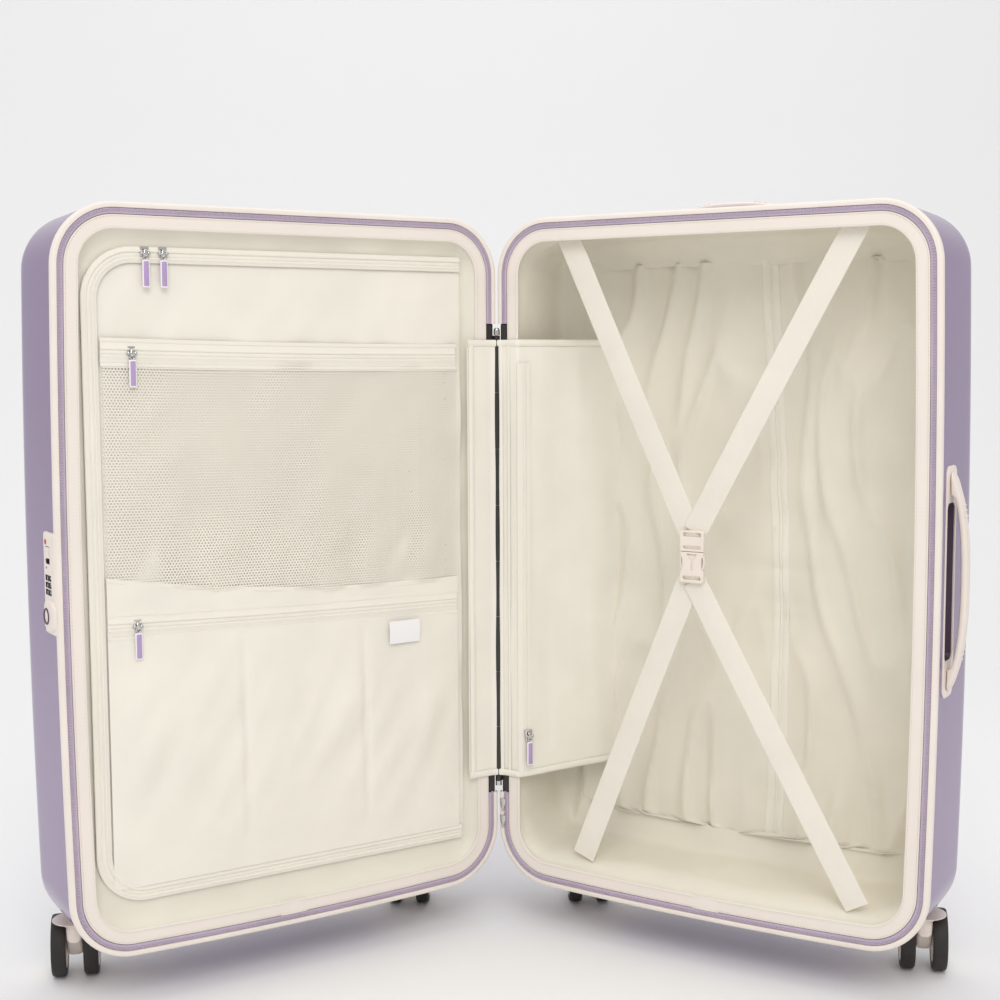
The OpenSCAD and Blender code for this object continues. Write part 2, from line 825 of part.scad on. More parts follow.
module lock_body() {
    difference() {
        union() {
            translate([lock_x1 - lock_deep, lock_y0, lock_z0]) cube([lock_deep, lock_w, lock_h]);
            translate([lock_x1 - 3, lock_y0 + 6, lock_z0 + 3]) cube([5, lock_w - 6, key_boss_h]);
        }
        for (i = [-1:1]) translate([dial_x, lock_y, dial_z + i * dial_pitch - dial_t / 2 - fit])
            cylinder(r = dial_r + dial_gap, h = dial_t + 2 * fit);
        translate([lock_x1 - 9, lock_y, key_z]) rotate([0, 90, 0]) cylinder(r = key_r + running, h = 20);
        translate([lock_x1 - button_deep, lock_y - lock_button_w / 2 - fit, button_z])
            cube([10, lock_button_w + 2 * fit, button_slot]);
    }
}

module lock_button() {
    color(cream) front_half()
        translate([lock_x1 - button_deep + fit, lock_y - lock_button_w / 2,
                   button_z + button_slot - lock_button_l - 2 * fit])
            cube([button_deep + 0.6, lock_button_w, lock_button_l]);
}

module key_cylinder() {
    color(steel) front_half() difference() {
        translate([lock_x1 - 8.8, lock_y, key_z]) rotate([0, 90, 0]) cylinder(r = key_r, h = 11.2);
        translate([lock_x1 - 3, lock_y - key_slot / 2, key_z - 3]) cube([10, key_slot, 6]);
    }
}

module dial(i) {
    color(black) front_half() translate([dial_x, lock_y, dial_z + (1 - i) * dial_pitch - dial_t / 2])
        difference() {
            cylinder(r = dial_r, h = dial_t);
            translate([0, 0, -1]) cylinder(r = dial_shaft_r, h = dial_t + 2);
        }
}
module dial_1() { dial(0); }
module dial_2() { dial(1); }
module dial_3() { dial(2); }

// ---------- Side feet ----------

foot_y = 96;
foot_out = 3;
foot_r = 11;
foot_from_end = 80;
module side_feet(gap = 0) {
    for (z = [case_z0 + foot_from_end, case_z1 - foot_from_end])
        translate([case_x0 + draft * foot_y + 0.6 + gap, foot_y, z]) rotate([0, -90, 0])
            cylinder(r = foot_r + gap, h = foot_out + gap);
}
module back_side_feet() { color(cream) side_feet(); }
module front_side_feet() { color(cream) front_half() side_feet(); }

// ---------- Casters ----------

caster_turn = [rest_turn / 2, rest_turn / 2 - 12];
neck_low = wheel_d - 5;
stem_top = well_top + 8;
boss_r = 12;
collar_flare = 4;
leg_w = wheel_gap - 2;

// Socket in the well's roof that holds a caster's stem
module caster_boss(i) {
    translate([caster_x[i], caster_y, well_top - well_plate]) difference() {
        cylinder(r = boss_r, h = stem_top + fit - well_top + well_plate);
        translate([0, 0, -1]) cylinder(r = stem_r + running, h = stem_top);
    }
}

// Section of a lower case corner, from its centre out to the wall and back to the broad face
module corner_section(r) {
    square([r, half_depth - edge_r]);
    square([r - edge_r, half_depth]);
    intersection() {
        translate([r - edge_r, half_depth - edge_r]) circle(edge_r);
        square([r, half_depth]);
    }
}

// Volume of the case above a caster: a round corner and a stretch of straight base
module corner_envelope(i) {
    x = i == 0 ? case_x0 + corner_r : case_x1 - corner_r;
    far = caster_x[i] + (i == 0 ? well_half : -well_half);
    translate([x, 0, case_z0 + corner_r]) rotate([-90, 0, 0]) rotate_extrude() corner_section(corner_r);
    translate([min(x, far), 0, case_z0 + corner_r]) rotate([90, 0, 90]) linear_extrude(abs(far - x))
        rotate(-90) corner_section(corner_r);
}

module caster_housings() {
    for (i = [0, 1]) {
        difference() {
            intersection() {
                corner_envelope(i);
                if (i == 0) inner_well(fit); else outer_well(fit);
            }
            if (i == 0) inner_well(3, well_plate); else outer_well(3, well_plate);
            translate([caster_x[i], caster_y, 0]) cylinder(r = boss_r - 1, h = case_h);
        }
        caster_boss(i);
    }
}
module back_caster_housings() { color(cream) caster_housings(); }
module front_caster_housings() { color(cream) front_half() caster_housings(); }

// A caster's own frame: Z is the swivel axis, the axle lies along X, and the trail runs along Y
module caster_place(i) {
    translate([caster_x[i], caster_y, 0]) rotate([0, 0, caster_turn[i]]) children();
}

module fork() {
    z = wheel_d / 2;
    roof = well_top - well_plate;
    color(cream) difference() {
        union() {
            translate([0, 0, neck_low - 20]) cylinder(r = leg_w / 2, h = 20);
            translate([0, 0, neck_low])
                cylinder(r1 = leg_w / 2, r2 = leg_w / 2 + collar_flare, h = roof - fit - neck_low);
            translate([0, 0, neck_low - 1]) cylinder(r = stem_r, h = stem_top - neck_low + 1);
            translate([-leg_w / 2, 0, 0]) rotate([90, 0, 90]) linear_extrude(leg_w) union() {
                translate([trail, z]) circle(9);
                polygon([[-6, neck_low - fit], [6, neck_low - fit], [trail + 8, z + 4],
                         [trail - 4, z - 8], [-6, neck_low - 14]]);
            }
        }
        translate([-leg_w, trail, z]) rotate([0, 90, 0]) cylinder(r = axle_r + running, h = 2 * leg_w);
    }
}

hub_r = wheel_d / 2 - tyre_t;
module wheel_hub() {
    rotate([0, 90, 0]) difference() {
        union() {
            difference() {
                cylinder(r = hub_r, h = wheel_w - 1);
                translate([0, 0, -1]) cylinder(r = hub_r - 2.5, h = 5);
                translate([0, 0, wheel_w - 2.5]) cylinder(r = hub_r - 2, h = 5);
            }
            translate([0, 0, -0.2]) cylinder(r = axle_r + 3, h = 6);
        }
        for (a = [0:60:300]) rotate([0, 0, a]) translate([hub_r - 11, -3, -1]) cube([6, 6, 8]);
    }
}

module hubs() {
    color(cream) translate([0, trail, wheel_d / 2]) union() {
        for (s = [0, 1]) mirror([s, 0, 0]) translate([wheel_gap / 2, 0, 0]) wheel_hub();
        translate([-wheel_gap / 2 - 6, 0, 0]) rotate([0, 90, 0]) cylinder(r = axle_r, h = wheel_gap + 12);
    }
}

module tyres() {
    color(black) translate([0, trail, wheel_d / 2]) for (s = [0, 1]) mirror([s, 0, 0])
        translate([wheel_gap / 2, 0, 0]) rotate([0, 90, 0]) rotate_extrude() difference() {
            translate([hub_r + running, -0.5]) square([tyre_t - running, wheel_w]);
            for (z = [-0.5, wheel_w - 2.5]) translate([wheel_d / 2 - 2, z]) square([2.1, 2]);
        }
}

module back_inner_fork() { caster_place(0) fork(); }
module back_outer_fork() { caster_place(1) fork(); }
module front_inner_fork() { front_half() caster_place(0) fork(); }
module front_outer_fork() { front_half() caster_place(1) fork(); }
module back_inner_hubs() { caster_place(0) hubs(); }
module back_outer_hubs() { caster_place(1) hubs(); }
module front_inner_hubs() { front_half() caster_place(0) hubs(); }
module front_outer_hubs() { front_half() caster_place(1) hubs(); }
module back_inner_tyres() { caster_place(0) tyres(); }
module back_outer_tyres() { caster_place(1) tyres(); }
module front_inner_tyres() { front_half() caster_place(0) tyres(); }
module front_outer_tyres() { front_half() caster_place(1) tyres(); }

back_shell();
front_shell();
back_bead();
front_bead();
back_zip();
front_zip();
back_lining();
front_lining();
back_hinge_rail();
front_hinge_rail();
hinge_pin();
divider_panel();
mesh_pocket();
zip_pocket();
divider_slider();
divider_puller();
mesh_slider();
mesh_puller();
pocket_slider();
pocket_puller();
flap_slider();
flap_puller();
front_flap();
back_flap();
hinge_side_straps();
outer_side_straps();
buckle_socket();
buckle_plug();
trolley_outer_tubes();
trolley_middle_tubes();
trolley_inner_tubes();
trolley_grip();
trolley_button();
trolley_housing();
top_handle();
side_handle();
handle_mounts();
lock_case();
lock_button();
key_cylinder();
dial_1();
dial_2();
dial_3();
back_side_feet();
front_side_feet();
back_caster_housings();
front_caster_housings();
main_zip_sliders();
back_inner_fork();
back_outer_fork();
front_inner_fork();
front_outer_fork();
back_inner_hubs();
back_outer_hubs();
front_inner_hubs();
front_outer_hubs();
back_inner_tyres();
back_outer_tyres();
front_inner_tyres();
front_outer_tyres();
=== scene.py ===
import json
import math

import bmesh
import bpy
from bpy.props import FloatProperty, FloatVectorProperty, IntProperty, PointerProperty
from mathutils import Matrix, Vector, noise


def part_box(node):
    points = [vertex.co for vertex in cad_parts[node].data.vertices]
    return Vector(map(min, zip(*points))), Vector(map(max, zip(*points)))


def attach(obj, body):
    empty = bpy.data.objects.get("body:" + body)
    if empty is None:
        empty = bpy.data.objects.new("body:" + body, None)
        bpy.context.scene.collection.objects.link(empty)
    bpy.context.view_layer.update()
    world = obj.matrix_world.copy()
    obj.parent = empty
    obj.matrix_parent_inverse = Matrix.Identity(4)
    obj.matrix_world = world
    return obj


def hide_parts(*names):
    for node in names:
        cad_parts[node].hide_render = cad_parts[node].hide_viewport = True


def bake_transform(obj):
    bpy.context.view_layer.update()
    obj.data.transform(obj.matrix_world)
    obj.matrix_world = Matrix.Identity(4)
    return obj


bl_info = {
    "name": "Hard Shell Suitcase",
    "version": (1, 0, 0),
    "blender": (4, 5, 0),
    "location": "3D View > Sidebar > Suitcase",
    "description": "Builds the visible pieces of a hard shell suitcase round its frame",
    "category": "Object",
}

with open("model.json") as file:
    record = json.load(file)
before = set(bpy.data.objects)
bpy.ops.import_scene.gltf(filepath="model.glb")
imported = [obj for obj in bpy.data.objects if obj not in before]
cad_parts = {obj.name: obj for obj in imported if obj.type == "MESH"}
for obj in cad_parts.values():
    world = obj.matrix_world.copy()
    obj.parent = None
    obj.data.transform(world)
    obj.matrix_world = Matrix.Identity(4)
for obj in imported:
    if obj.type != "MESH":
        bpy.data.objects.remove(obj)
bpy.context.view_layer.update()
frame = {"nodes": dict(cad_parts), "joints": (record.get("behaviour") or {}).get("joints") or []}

MM = 0.001
PROUD = 0.8 * MM
PARTING = 0.5 * MM
DRAFT = 0.03


def joint(name):
    """The joint of that name in the packed record."""
    return next(j for j in frame["joints"] if j["name"] == name)


# The halves stand open by 180 degrees less this turn
REST_TURN = math.radians(joint("case_hinge")["range_deg"][1])
HALF = {
    "back": Matrix.Identity(4),
    "front": Matrix.Rotation(REST_TURN, 4, "Z") @ Matrix.Scale(-1, 4, (1, 0, 0)),
}


def linear(text):
    """An sRGB hex colour as linear red, green and blue."""
    parts = [int(text[i:i + 2], 16) / 255 for i in (1, 3, 5)]
    return [p / 12.92 if p <= 0.04045 else ((p + 0.055) / 1.055) ** 2.4 for p in parts]


def colour_prop(name, text, description):
    """A colour property whose default is an sRGB hex value."""
    return FloatVectorProperty(name=name, description=description, subtype="COLOR", size=3,
                               min=0, max=1, default=linear(text))


def length_prop(name, millimetres, description):
    """A length property whose default is given in millimetres."""
    return FloatProperty(name=name, description=description, unit="LENGTH", min=0,
                         default=millimetres * MM)


class SuitcaseSizes(bpy.types.PropertyGroup):
    """Sizes of the suitcase's visible pieces that the frame leaves open"""

    corner_radius: length_prop("Corner radius", 56, "Corner radius of the case's outline")
    edge_radius: length_prop("Edge radius", 42, "Rounding from a side wall into the broad face")
    side_bow: length_prop("Side bow", 5, "Outward bow of the opening side")
    base_bow: length_prop("Base bow", 5, "Downward bow of the base")
    shell_wall: length_prop("Shell wall", 2.4, "Thickness of the moulded shell")
    bead_width: length_prop("Bead width", 4.6, "Width of the rim bead")
    bead_depth: length_prop("Bead depth", 6, "Depth of the rim bead")
    zip_width: length_prop("Zip width", 5.4, "Width of the main zip's tape")
    tooth_pitch: length_prop("Tooth pitch", 2.6, "Distance between two zip teeth")
    lip_width: length_prop("Lip width", 13, "Width of the lining's stitched lip")
    rib_pitch: length_prop("Rib pitch", 37, "Distance between two ribs on a broad face")
    rib_height: length_prop("Rib height", 2.2, "Height of a rib on a broad face")
    net_pitch: length_prop("Net pitch", 3.0, "Distance between two holes in the net pocket")
    rib_count: IntProperty(name="Ribs", description="Number of ribs on a broad face", default=9, min=0)


class SuitcaseColours(bpy.types.PropertyGroup):
    """Colours of the suitcase's finishes"""

    shell: colour_prop("Shell", "#6B4482", "Polycarbonate shell")
    bead: colour_prop("Bead", "#EFE5DC", "Moulded rim bead")
    zip: colour_prop("Zip", "#C3B2C6", "Main zip's tape and teeth")
    lining: colour_prop("Lining", "#EAE4D5", "Polyester lining")
    divider: colour_prop("Divider", "#F0EBDF", "Divider and pocket fabric")
    webbing: colour_prop("Webbing", "#F0E9DD", "Strap webbing")
    trim: colour_prop("Trim", "#EFE3D9", "Moulded cream trim")
    # Painted shade: the recess colour is darker than the shell to stand in for the shade inside a hollow
    recess: colour_prop("Recess", "#4A3048", "Finger recess behind a handle")
    puller: colour_prop("Puller", "#B79BCB", "Enamel of a zip puller")
    tyre: colour_prop("Tyre", "#2B2725", "Wheel tyre")


def sizes():
    """The suitcase's size properties."""
    return bpy.context.scene.suitcase_sizes


def colours():
    """The suitcase's colour properties."""
    return bpy.context.scene.suitcase_colours


# ---------- The frame's measures ----------

RIM_LOW, RIM_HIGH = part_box("back_bead")
X0 = RIM_LOW.x + PROUD
X1 = RIM_HIGH.x - PROUD - 5 * MM
Z0 = RIM_LOW.z + PROUD + 5 * MM
Z1 = RIM_HIGH.z - PROUD
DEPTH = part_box("back_shell")[1].y
RAIL_LOW, RAIL_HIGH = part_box("back_hinge_rail")
RAIL_Z0, RAIL_Z1 = RAIL_LOW.z - 1 * MM, RAIL_HIGH.z + 1 * MM
LINING_BACK = {"back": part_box("back_lining")[1].y, "front": DEPTH - 4.4 * MM}
FLAP_LOW, FLAP_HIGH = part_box("back_flap")


def spot(half, u, d, z):
    """The point at distance u from the hinge and depth d in one half of the case."""
    return HALF[half] @ Vector((u, d, z))


def axes(half):
    """Directions of that half's width, depth and height."""
    turn = HALF[half].to_3x3()
    return turn @ Vector((1, 0, 0)), turn @ Vector((0, 1, 0)), Vector((0, 0, 1))


def local_box(half, node):
    """A node's lowest and highest corners in its half's own frame."""
    back = HALF[half].inverted()
    points = [back @ v.co for v in frame["nodes"][node].data.vertices]
    low = Vector([min(p[k] for p in points) for k in range(3)])
    high = Vector([max(p[k] for p in points) for k in range(3)])
    return low, high


def outline(inset, base_extra=0.0, corner=14, side=28):
    """Closed outline of the case as (u, z) points, from the hinge side's middle round the base."""
    s = sizes()
    r = max(s.corner_radius - inset, 4 * MM)
    x0, x1 = X0 + inset, X1 - inset
    z0, z1 = Z0 + inset + base_extra, Z1 - inset

    def arc(cx, cz, start):
        turns = [math.radians(start + 90 * i / corner) for i in range(corner + 1)]
        return [(cx + r * math.cos(t), cz + r * math.sin(t)) for t in turns]

    def line(a, b, n):
        return [(a[0] + (b[0] - a[0]) * i / n, a[1] + (b[1] - a[1]) * i / n) for i in range(1, n)]

    points = (line((x0, z1 - r), (x0, z0 + r), side) + arc(x0 + r, z0 + r, 180)
              + line((x0 + r, z0), (x1 - r, z0), side // 2) + arc(x1 - r, z0 + r, 270)
              + line((x1, z0 + r), (x1, z1 - r), side) + arc(x1 - r, z1 - r, 0)
              + line((x1 - r, z1), (x0 + r, z1), side // 2) + arc(x0 + r, z1 - r, 90))
    bowed = []
    for x, z in points:
        u, w = (x - x0) / (x1 - x0), (z - z0) / (z1 - z0)
        bowed.append((x + s.side_bow * u * 4 * w * (1 - w),
                      z - s.base_bow * (1 - w) * 4 * u * (1 - u)))
    return bowed


def rim_path(inset, low=None, high=None):
    """Open outline that leaves out the hinge side between two heights."""
    low = RAIL_Z0 if low is None else low
    high = RAIL_Z1 if high is None else high
    points = outline(inset)
    def on_side(p):
        return abs(p[0] - X0 - inset) < 0.2 * MM

    kept = [p for p in points if not (on_side(p) and low < p[1] < high)]
    start = next(i for i, p in enumerate(kept)
                 if on_side(p) and p[1] <= low and (kept[i - 1][1] >= high or i == 0))
    ordered = kept[start:] + kept[:start]
    return [(X0 + inset, low)] + ordered + [(X0 + inset, high)]


def ramp(t):
    """Smooth step from 0 to 1."""
    t = max(0.0, min(1.0, t))
    return t * t * (3 - 2 * t)


# ---------- Mesh helpers ----------

def turns(count):
    """Angles of evenly spaced points round a circle."""
    return [2 * math.pi * k / count for k in range(count)]


def squared(count, power):
    """Points round a circle that a power below 1 draws out towards a square."""
    return [tuple(math.copysign(abs(c) ** power, c) for c in (math.cos(a), math.sin(a)))
            for a in turns(count)]


def distances(points):
    """Length run along a line at each of its points."""
    run = [0.0]
    for a, b in zip(points, points[1:]):
        run.append(run[-1] + (b - a).length)
    return run


def mark_edges(shape, degrees):
    """Keeps edges above an angle crisp, and shades the rest softly."""
    for e in shape.edges:
        e.smooth = not e.is_manifold or e.calc_face_angle(0) < math.radians(degrees)
    for f in shape.faces:
        f.smooth = True


def evaluated_mesh(obj):
    """A new mesh of an object with its modifiers applied."""
    bpy.context.view_layer.update()
    graph = bpy.context.evaluated_depsgraph_get()
    return bpy.data.meshes.new_from_object(obj.evaluated_get(graph))


class Piece:
    """Collects points and faces, and turns them into one object."""

    def __init__(self):
        """Starts with no points and no faces."""
        self.points, self.faces, self.marks, self.uvs = [], [], [], []

    def add(self, points, faces, mark=0, uv=None):
        """Adds points and faces, and gives the number of the first point."""
        base = len(self.points)
        self.points += [Vector(p) for p in points]
        self.faces += [[base + i for i in f] for f in faces]
        self.marks += [mark] * len(faces)
        self.uvs += list(uv) if uv else [(0.0, 0.0)] * len(points)
        return base

    def grid(self, rows, mark=0, closed=False, uv=None):
        """Skin over rows of points. closed joins each row's last point to its first."""
        n, m = len(rows), len(rows[0])
        wrap = m if closed else m - 1
        faces = [[i * m + j, i * m + (j + 1) % m, (i + 1) * m + (j + 1) % m, (i + 1) * m + j]
                 for i in range(n - 1) for j in range(wrap)]
        flat_uv = [c for row in uv for c in row] if uv else None
        return self.add([p for row in rows for p in row], faces, mark, flat_uv)

    def cap(self, base, count, mark=0):
        """Closes a ring of points with one face."""
        self.faces.append([base + i for i in range(count)])
        self.marks.append(mark)

    def tube(self, rows, mark=0, ends=True):
        """Closed sections in a row, with both ends filled."""
        base = self.grid(rows, mark, closed=True)
        if ends:
            self.cap(base, len(rows[0]), mark)
            self.cap(base + (len(rows) - 1) * len(rows[0]), len(rows[0]), mark)

    def turned(self, profile, place, mark=0, steps=48, closed=False):
        """Solid of revolution. profile holds (radius, height), and place turns Z to the axis."""
        rows = [[place @ Vector((r * math.cos(a), r * math.sin(a), h))
                 for a in turns(steps)]
                for r, h in profile + ([profile[0]] if closed else [])]
        if closed:
            self.grid(rows, mark, closed=True)
        else:
            self.tube(rows, mark)

    def block(self, size, place, round_by=0.0, mark=0, steps=2):
        """Box with rounded edges, centred on place."""
        shape = bmesh.new()
        bmesh.ops.create_cube(shape, size=1)
        bmesh.ops.scale(shape, vec=size, verts=shape.verts)
        if round_by > 0:
            bmesh.ops.bevel(shape, geom=shape.edges[:], offset=round_by, segments=steps,
                            affect="EDGES", profile=0.5)
        self.take(shape, place, mark)

    def take(self, shape, place, mark=0):
        """Adds a bmesh's faces, moved by place."""
        shape.verts.index_update()
        self.add([place @ v.co for v in shape.verts],
                 [[v.index for v in f.verts] for f in shape.faces], mark)
        shape.free()

    def finish(self, name, materials, body=None, smooth=35, slot=None, replaces=(), weld=False):
        """Makes the object, with soft shading up to an angle, riding on a body."""
        mesh = bpy.data.meshes.new(name)
        mesh.from_pydata([tuple(p) for p in self.points], [], self.faces)
        for m in materials:
            mesh.materials.append(m)
        mesh.polygons.foreach_set("material_index", self.marks)
        layer = mesh.uv_layers.new(name="cloth")
        for loop in mesh.loops:
            layer.data[loop.index].uv = self.uvs[loop.vertex_index]
        shape = bmesh.new()
        shape.from_mesh(mesh)
        if weld:
            bmesh.ops.remove_doubles(shape, verts=shape.verts, dist=0.005 * MM)
        bmesh.ops.recalc_face_normals(shape, faces=shape.faces)
        mark_edges(shape, smooth)
        shape.to_mesh(mesh)
        shape.free()
        obj = bpy.data.objects.new(name, mesh)
        bpy.context.scene.collection.objects.link(obj)
        if body:
            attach(obj, body)
        if replaces:
            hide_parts(*replaces)
        return obj


def cut(obj, cutter, operation="DIFFERENCE"):
    """Applies a boolean with a cutter, and removes the cutter."""
    mod = obj.modifiers.new("cut", "BOOLEAN")
    mod.operation = operation
    mod.solver = "EXACT"
    mod.object = cutter
    shaped = evaluated_mesh(obj)
    obj.modifiers.clear()
    old = obj.data
    obj.data = shaped
    bpy.data.meshes.remove(old)
    bpy.data.objects.remove(cutter)
    return obj


def shade(obj, degrees=35):
    """Marks the edges that stay crisp, and shades the rest softly."""
    shape = bmesh.new()
    shape.from_mesh(obj.data)
    mark_edges(shape, degrees)
    shape.to_mesh(obj.data)
    shape.free()


def resample(points, step):
    """Points at an even step along a line of (u, z) points, with the direction at each."""
    result, carry = [], 0.0
    for a, b in zip(points, points[1:]):
        du, dz = b[0] - a[0], b[1] - a[1]
        length = math.hypot(du, dz)
        if length < 1e-9:
            continue
        at = carry
        while at < length:
            t = at / length
            result.append((a[0] + du * t, a[1] + dz * t, du / length, dz / length))
            at += step
        carry = at - length
    return result


def seam_place(half, step, depth, shift=0.0):
    """Matrix at a step of a resampled line: X along it, Y across it and Z into the case."""
    u, z, du, dz = step
    width_way, depth_way, up = axes(half)
    side = width_way * -dz + up * du
    m = Matrix((width_way * du + up * dz, side, depth_way)).transposed().to_4x4()
    m.translation = spot(half, u, depth, z) + side * shift
    return m


def softened(cad_node, material, width=0.8 * MM, segments=3, angle=30):
    """Gives a frame node its finish and a small rounding on its edges."""
    obj = frame["nodes"][cad_node]
    obj.data.materials.clear()
    obj.data.materials.append(material)
    if width:
        mod = obj.modifiers.new("rounded_edges", "BEVEL")
        mod.width = width
        mod.segments = segments
        mod.limit_method = "ANGLE"
        mod.angle_limit = math.radians(angle)
        mod.use_clamp_overlap = True
    return obj


# ---------- Materials ----------

def add_node(tree, kind, links=None, **settings):
    """Adds a node. links maps an input's name to an output, and settings are inputs or attributes."""
    node = tree.nodes.new(kind)
    for key, value in settings.items():
        if key in node.inputs:
            node.inputs[key].default_value = value
        else:
            setattr(node, key, value)
    for key, output in (links or {}).items():
        tree.links.new(output, node.inputs[key])
    return node


def new_material(name, colour, roughness, metallic=0.0, **inputs):
    """A material with its principled shader, its node tree and that shader."""
    material = bpy.data.materials.new(name)
    material.use_nodes = True
    material.diffuse_color = (*colour, 1)
    shader = material.node_tree.nodes["Principled BSDF"]
    shader.inputs["Base Color"].default_value = (*colour, 1)
    shader.inputs["Roughness"].default_value = roughness
    shader.inputs["Metallic"].default_value = metallic
    for key, value in inputs.items():
        shader.inputs[key.replace("_", " ")].default_value = value
    return material, material.node_tree, shader


def tone(tree, shader, colour, vector, scale, darker, detail=3.0):
    """Varies the base colour slowly between itself and a darker shade."""
    spots = add_node(tree, "ShaderNodeTexNoise", {"Vector": vector}, Scale=scale, Detail=detail)
    span = add_node(tree, "ShaderNodeMapRange", {"Value": spots.outputs["Fac"]})
    span.inputs["From Min"].default_value = 0.3
    span.inputs["From Max"].default_value = 0.7
    mix = add_node(tree, "ShaderNodeMix", {"Factor": span.outputs["Result"]}, data_type="RGBA")
    mix.inputs[6].default_value = (*[c * darker for c in colour], 1)
    mix.inputs[7].default_value = (*colour, 1)
    tree.links.new(mix.outputs[2], shader.inputs["Base Color"])
    return mix


def bump(tree, shader, height, distance, strength=1.0):
    """Bump from a height of 0 to 1 that stands for a real distance."""
    node = add_node(tree, "ShaderNodeBump", {"Height": height}, Distance=distance, Strength=strength)
    tree.links.new(node.outputs["Normal"], shader.inputs["Normal"])
    return node


def threads(tree, vector, along, across):
    """Height of a plain weave, with threads at two spacings in metres."""
    bands = []
    for direction, spacing in (("X", along), ("Y", across)):
        bands.append(add_node(tree, "ShaderNodeTexWave", {"Vector": vector}, wave_type="BANDS",
                              bands_direction=direction, Scale=2 * math.pi / (20 * spacing),
                              Distortion=0.6, Detail=1.0))
    return add_node(tree, "ShaderNodeMath", {0: bands[0].outputs["Fac"], 1: bands[1].outputs["Fac"]},
                    operation="MULTIPLY").outputs["Value"]


MATERIALS = {}


def finish_of(name):
    """The material of that name, made on its first use."""
    if name not in MATERIALS:
        MATERIALS[name] = MAKERS[name]()
    return MATERIALS[name]


def polycarbonate():
    """Moulded polycarbonate with a clear film: deep gloss over faint orange peel and fine flake."""
    colour = colours().shell
    material, tree, shader = new_material("moulded_polycarbonate", colour, 0.22, IOR=1.58,
                                          Coat_Weight=0.3, Coat_Roughness=0.08)
    where = add_node(tree, "ShaderNodeTexCoord").outputs["Object"]
    tone(tree, shader, colour, where, 900, 0.93, 2)
    peel = add_node(tree, "ShaderNodeTexNoise", {"Vector": where}, Scale=420, Detail=2)
    bump(tree, shader, peel.outputs["Fac"], 0.02 * MM, 0.5)
    return material


def moulded(name, colour, roughness, grit=1.2, depth=0.03, darker=0.95, **inputs):
    """Moulded plastic with a fine spark-eroded grain: soft, even highlights."""
    material, tree, shader = new_material(name, colour, roughness, **inputs)
    where = add_node(tree, "ShaderNodeTexCoord").outputs["Object"]
    tone(tree, shader, colour, where, 25, darker)
    grain = add_node(tree, "ShaderNodeTexNoise", {"Vector": where}, Scale=1 / (grit * MM), Detail=3)
    bump(tree, shader, grain.outputs["Fac"], depth * MM, 0.6)
    return material


def cream_abs():
    """Moulded ABS: warm cream with a broad soft highlight."""
    return moulded("moulded_cream_abs", colours().trim, 0.38, Coat_Weight=0.1, IOR=1.53)


def bead_tpe():
    """Extruded soft plastic: an even satin line round the mouth."""
    return moulded("extruded_bead_tpe", colours().bead, 0.42, IOR=1.5)


def recess_shade_abs():
    """Moulded ABS in a dark tone, so that a recess reads as deep."""
    return moulded("moulded_recess_shade_abs", colours().recess, 0.45, IOR=1.53)


def black_abs():
    """Moulded black ABS with a low, slightly glossy shine."""
    return moulded("moulded_black_abs", linear("#1E1B1A"), 0.35, IOR=1.53, Coat_Weight=0.2)


def tyre_rubber():
    """Moulded polyurethane tyre: dull black, with dust-worn lighter patches on its tread."""
    return moulded("moulded_polyurethane", colours().tyre, 0.62, 1.6, 0.08, 0.7, IOR=1.5)


def chrome():
    """Polished plated zinc: a dark, sharp mirror with faint ripples from the casting."""
    material, tree, shader = new_material("plated_zinc", linear("#C9C7C6"), 0.12, 1.0)
    where = add_node(tree, "ShaderNodeTexCoord").outputs["Object"]
    ripple = add_node(tree, "ShaderNodeTexNoise", {"Vector": where}, Scale=500, Detail=1)
    bump(tree, shader, ripple.outputs["Fac"], 0.05 * MM, 0.4)
    return material


def puller_enamel():
    """Soft enamel in the recess of a puller: smooth lilac with a slight dip of gloss."""
    return moulded("puller_enamel", colours().puller, 0.3, 0.8, 0.01, 0.9, Coat_Weight=0.4)


def white_enamel():
    """White enamel: a bright smooth border on a puller."""
    return moulded("puller_border_enamel", linear("#F3EEF2"), 0.3, 0.8, 0.01, 0.96, Coat_Weight=0.3)


def red_enamel():
    """Red enamel: one small bright dot on the lock."""
    return moulded("lock_mark_enamel", linear("#B2202C"), 0.3, 0.8, 0.01, 0.9)


def aluminium():
    """Anodised aluminium tube: satin, with fine drawn lines along its length."""
    colour = linear("#C6C8CB")
    material, tree, shader = new_material("anodised_aluminium", colour, 0.32, 1.0)
    where = add_node(tree, "ShaderNodeTexCoord").outputs["Object"]
    drawn = add_node(tree, "ShaderNodeMapping", {"Vector": where}, Scale=(1, 1, 0.02))
    lines = add_node(tree, "ShaderNodeTexNoise", {"Vector": drawn.outputs["Vector"]}, Scale=2500,
                     Detail=2)
    bump(tree, shader, lines.outputs["Fac"], 0.03 * MM, 0.5)
    return material


def cloth(name, colour, roughness, spacing, sheen, darker=0.94, depth=0.05, through=0.0):
    """Woven polyester: a fine plain weave with a soft sheen. Threads of about 0.3 mm are drawn wider."""
    material, tree, shader = new_material(name, colour, roughness, IOR=1.5, Sheen_Weight=sheen,
                                          Sheen_Roughness=0.4)
    coord = add_node(tree, "ShaderNodeTexCoord")
    tone(tree, shader, colour, coord.outputs["Object"], 14, darker)
    weave = threads(tree, coord.outputs["UV"], spacing * MM, spacing * MM)
    bump(tree, shader, weave, depth * MM, 0.7)
    if through:
        shader.inputs["Subsurface Weight"].default_value = through
        shader.inputs["Subsurface Scale"].default_value = 4 * MM
    return material


def lining_cloth():
    """Woven polyester lining: soft folds with a low sheen."""
    return cloth("woven_polyester_lining", colours().lining, 0.55, 1.1, 0.25)


def divider_cloth():
    """Woven polyester of the divider: a little smoother and paler than the lining."""
    return cloth("woven_polyester_divider", colours().divider, 0.5, 1.1, 0.3)


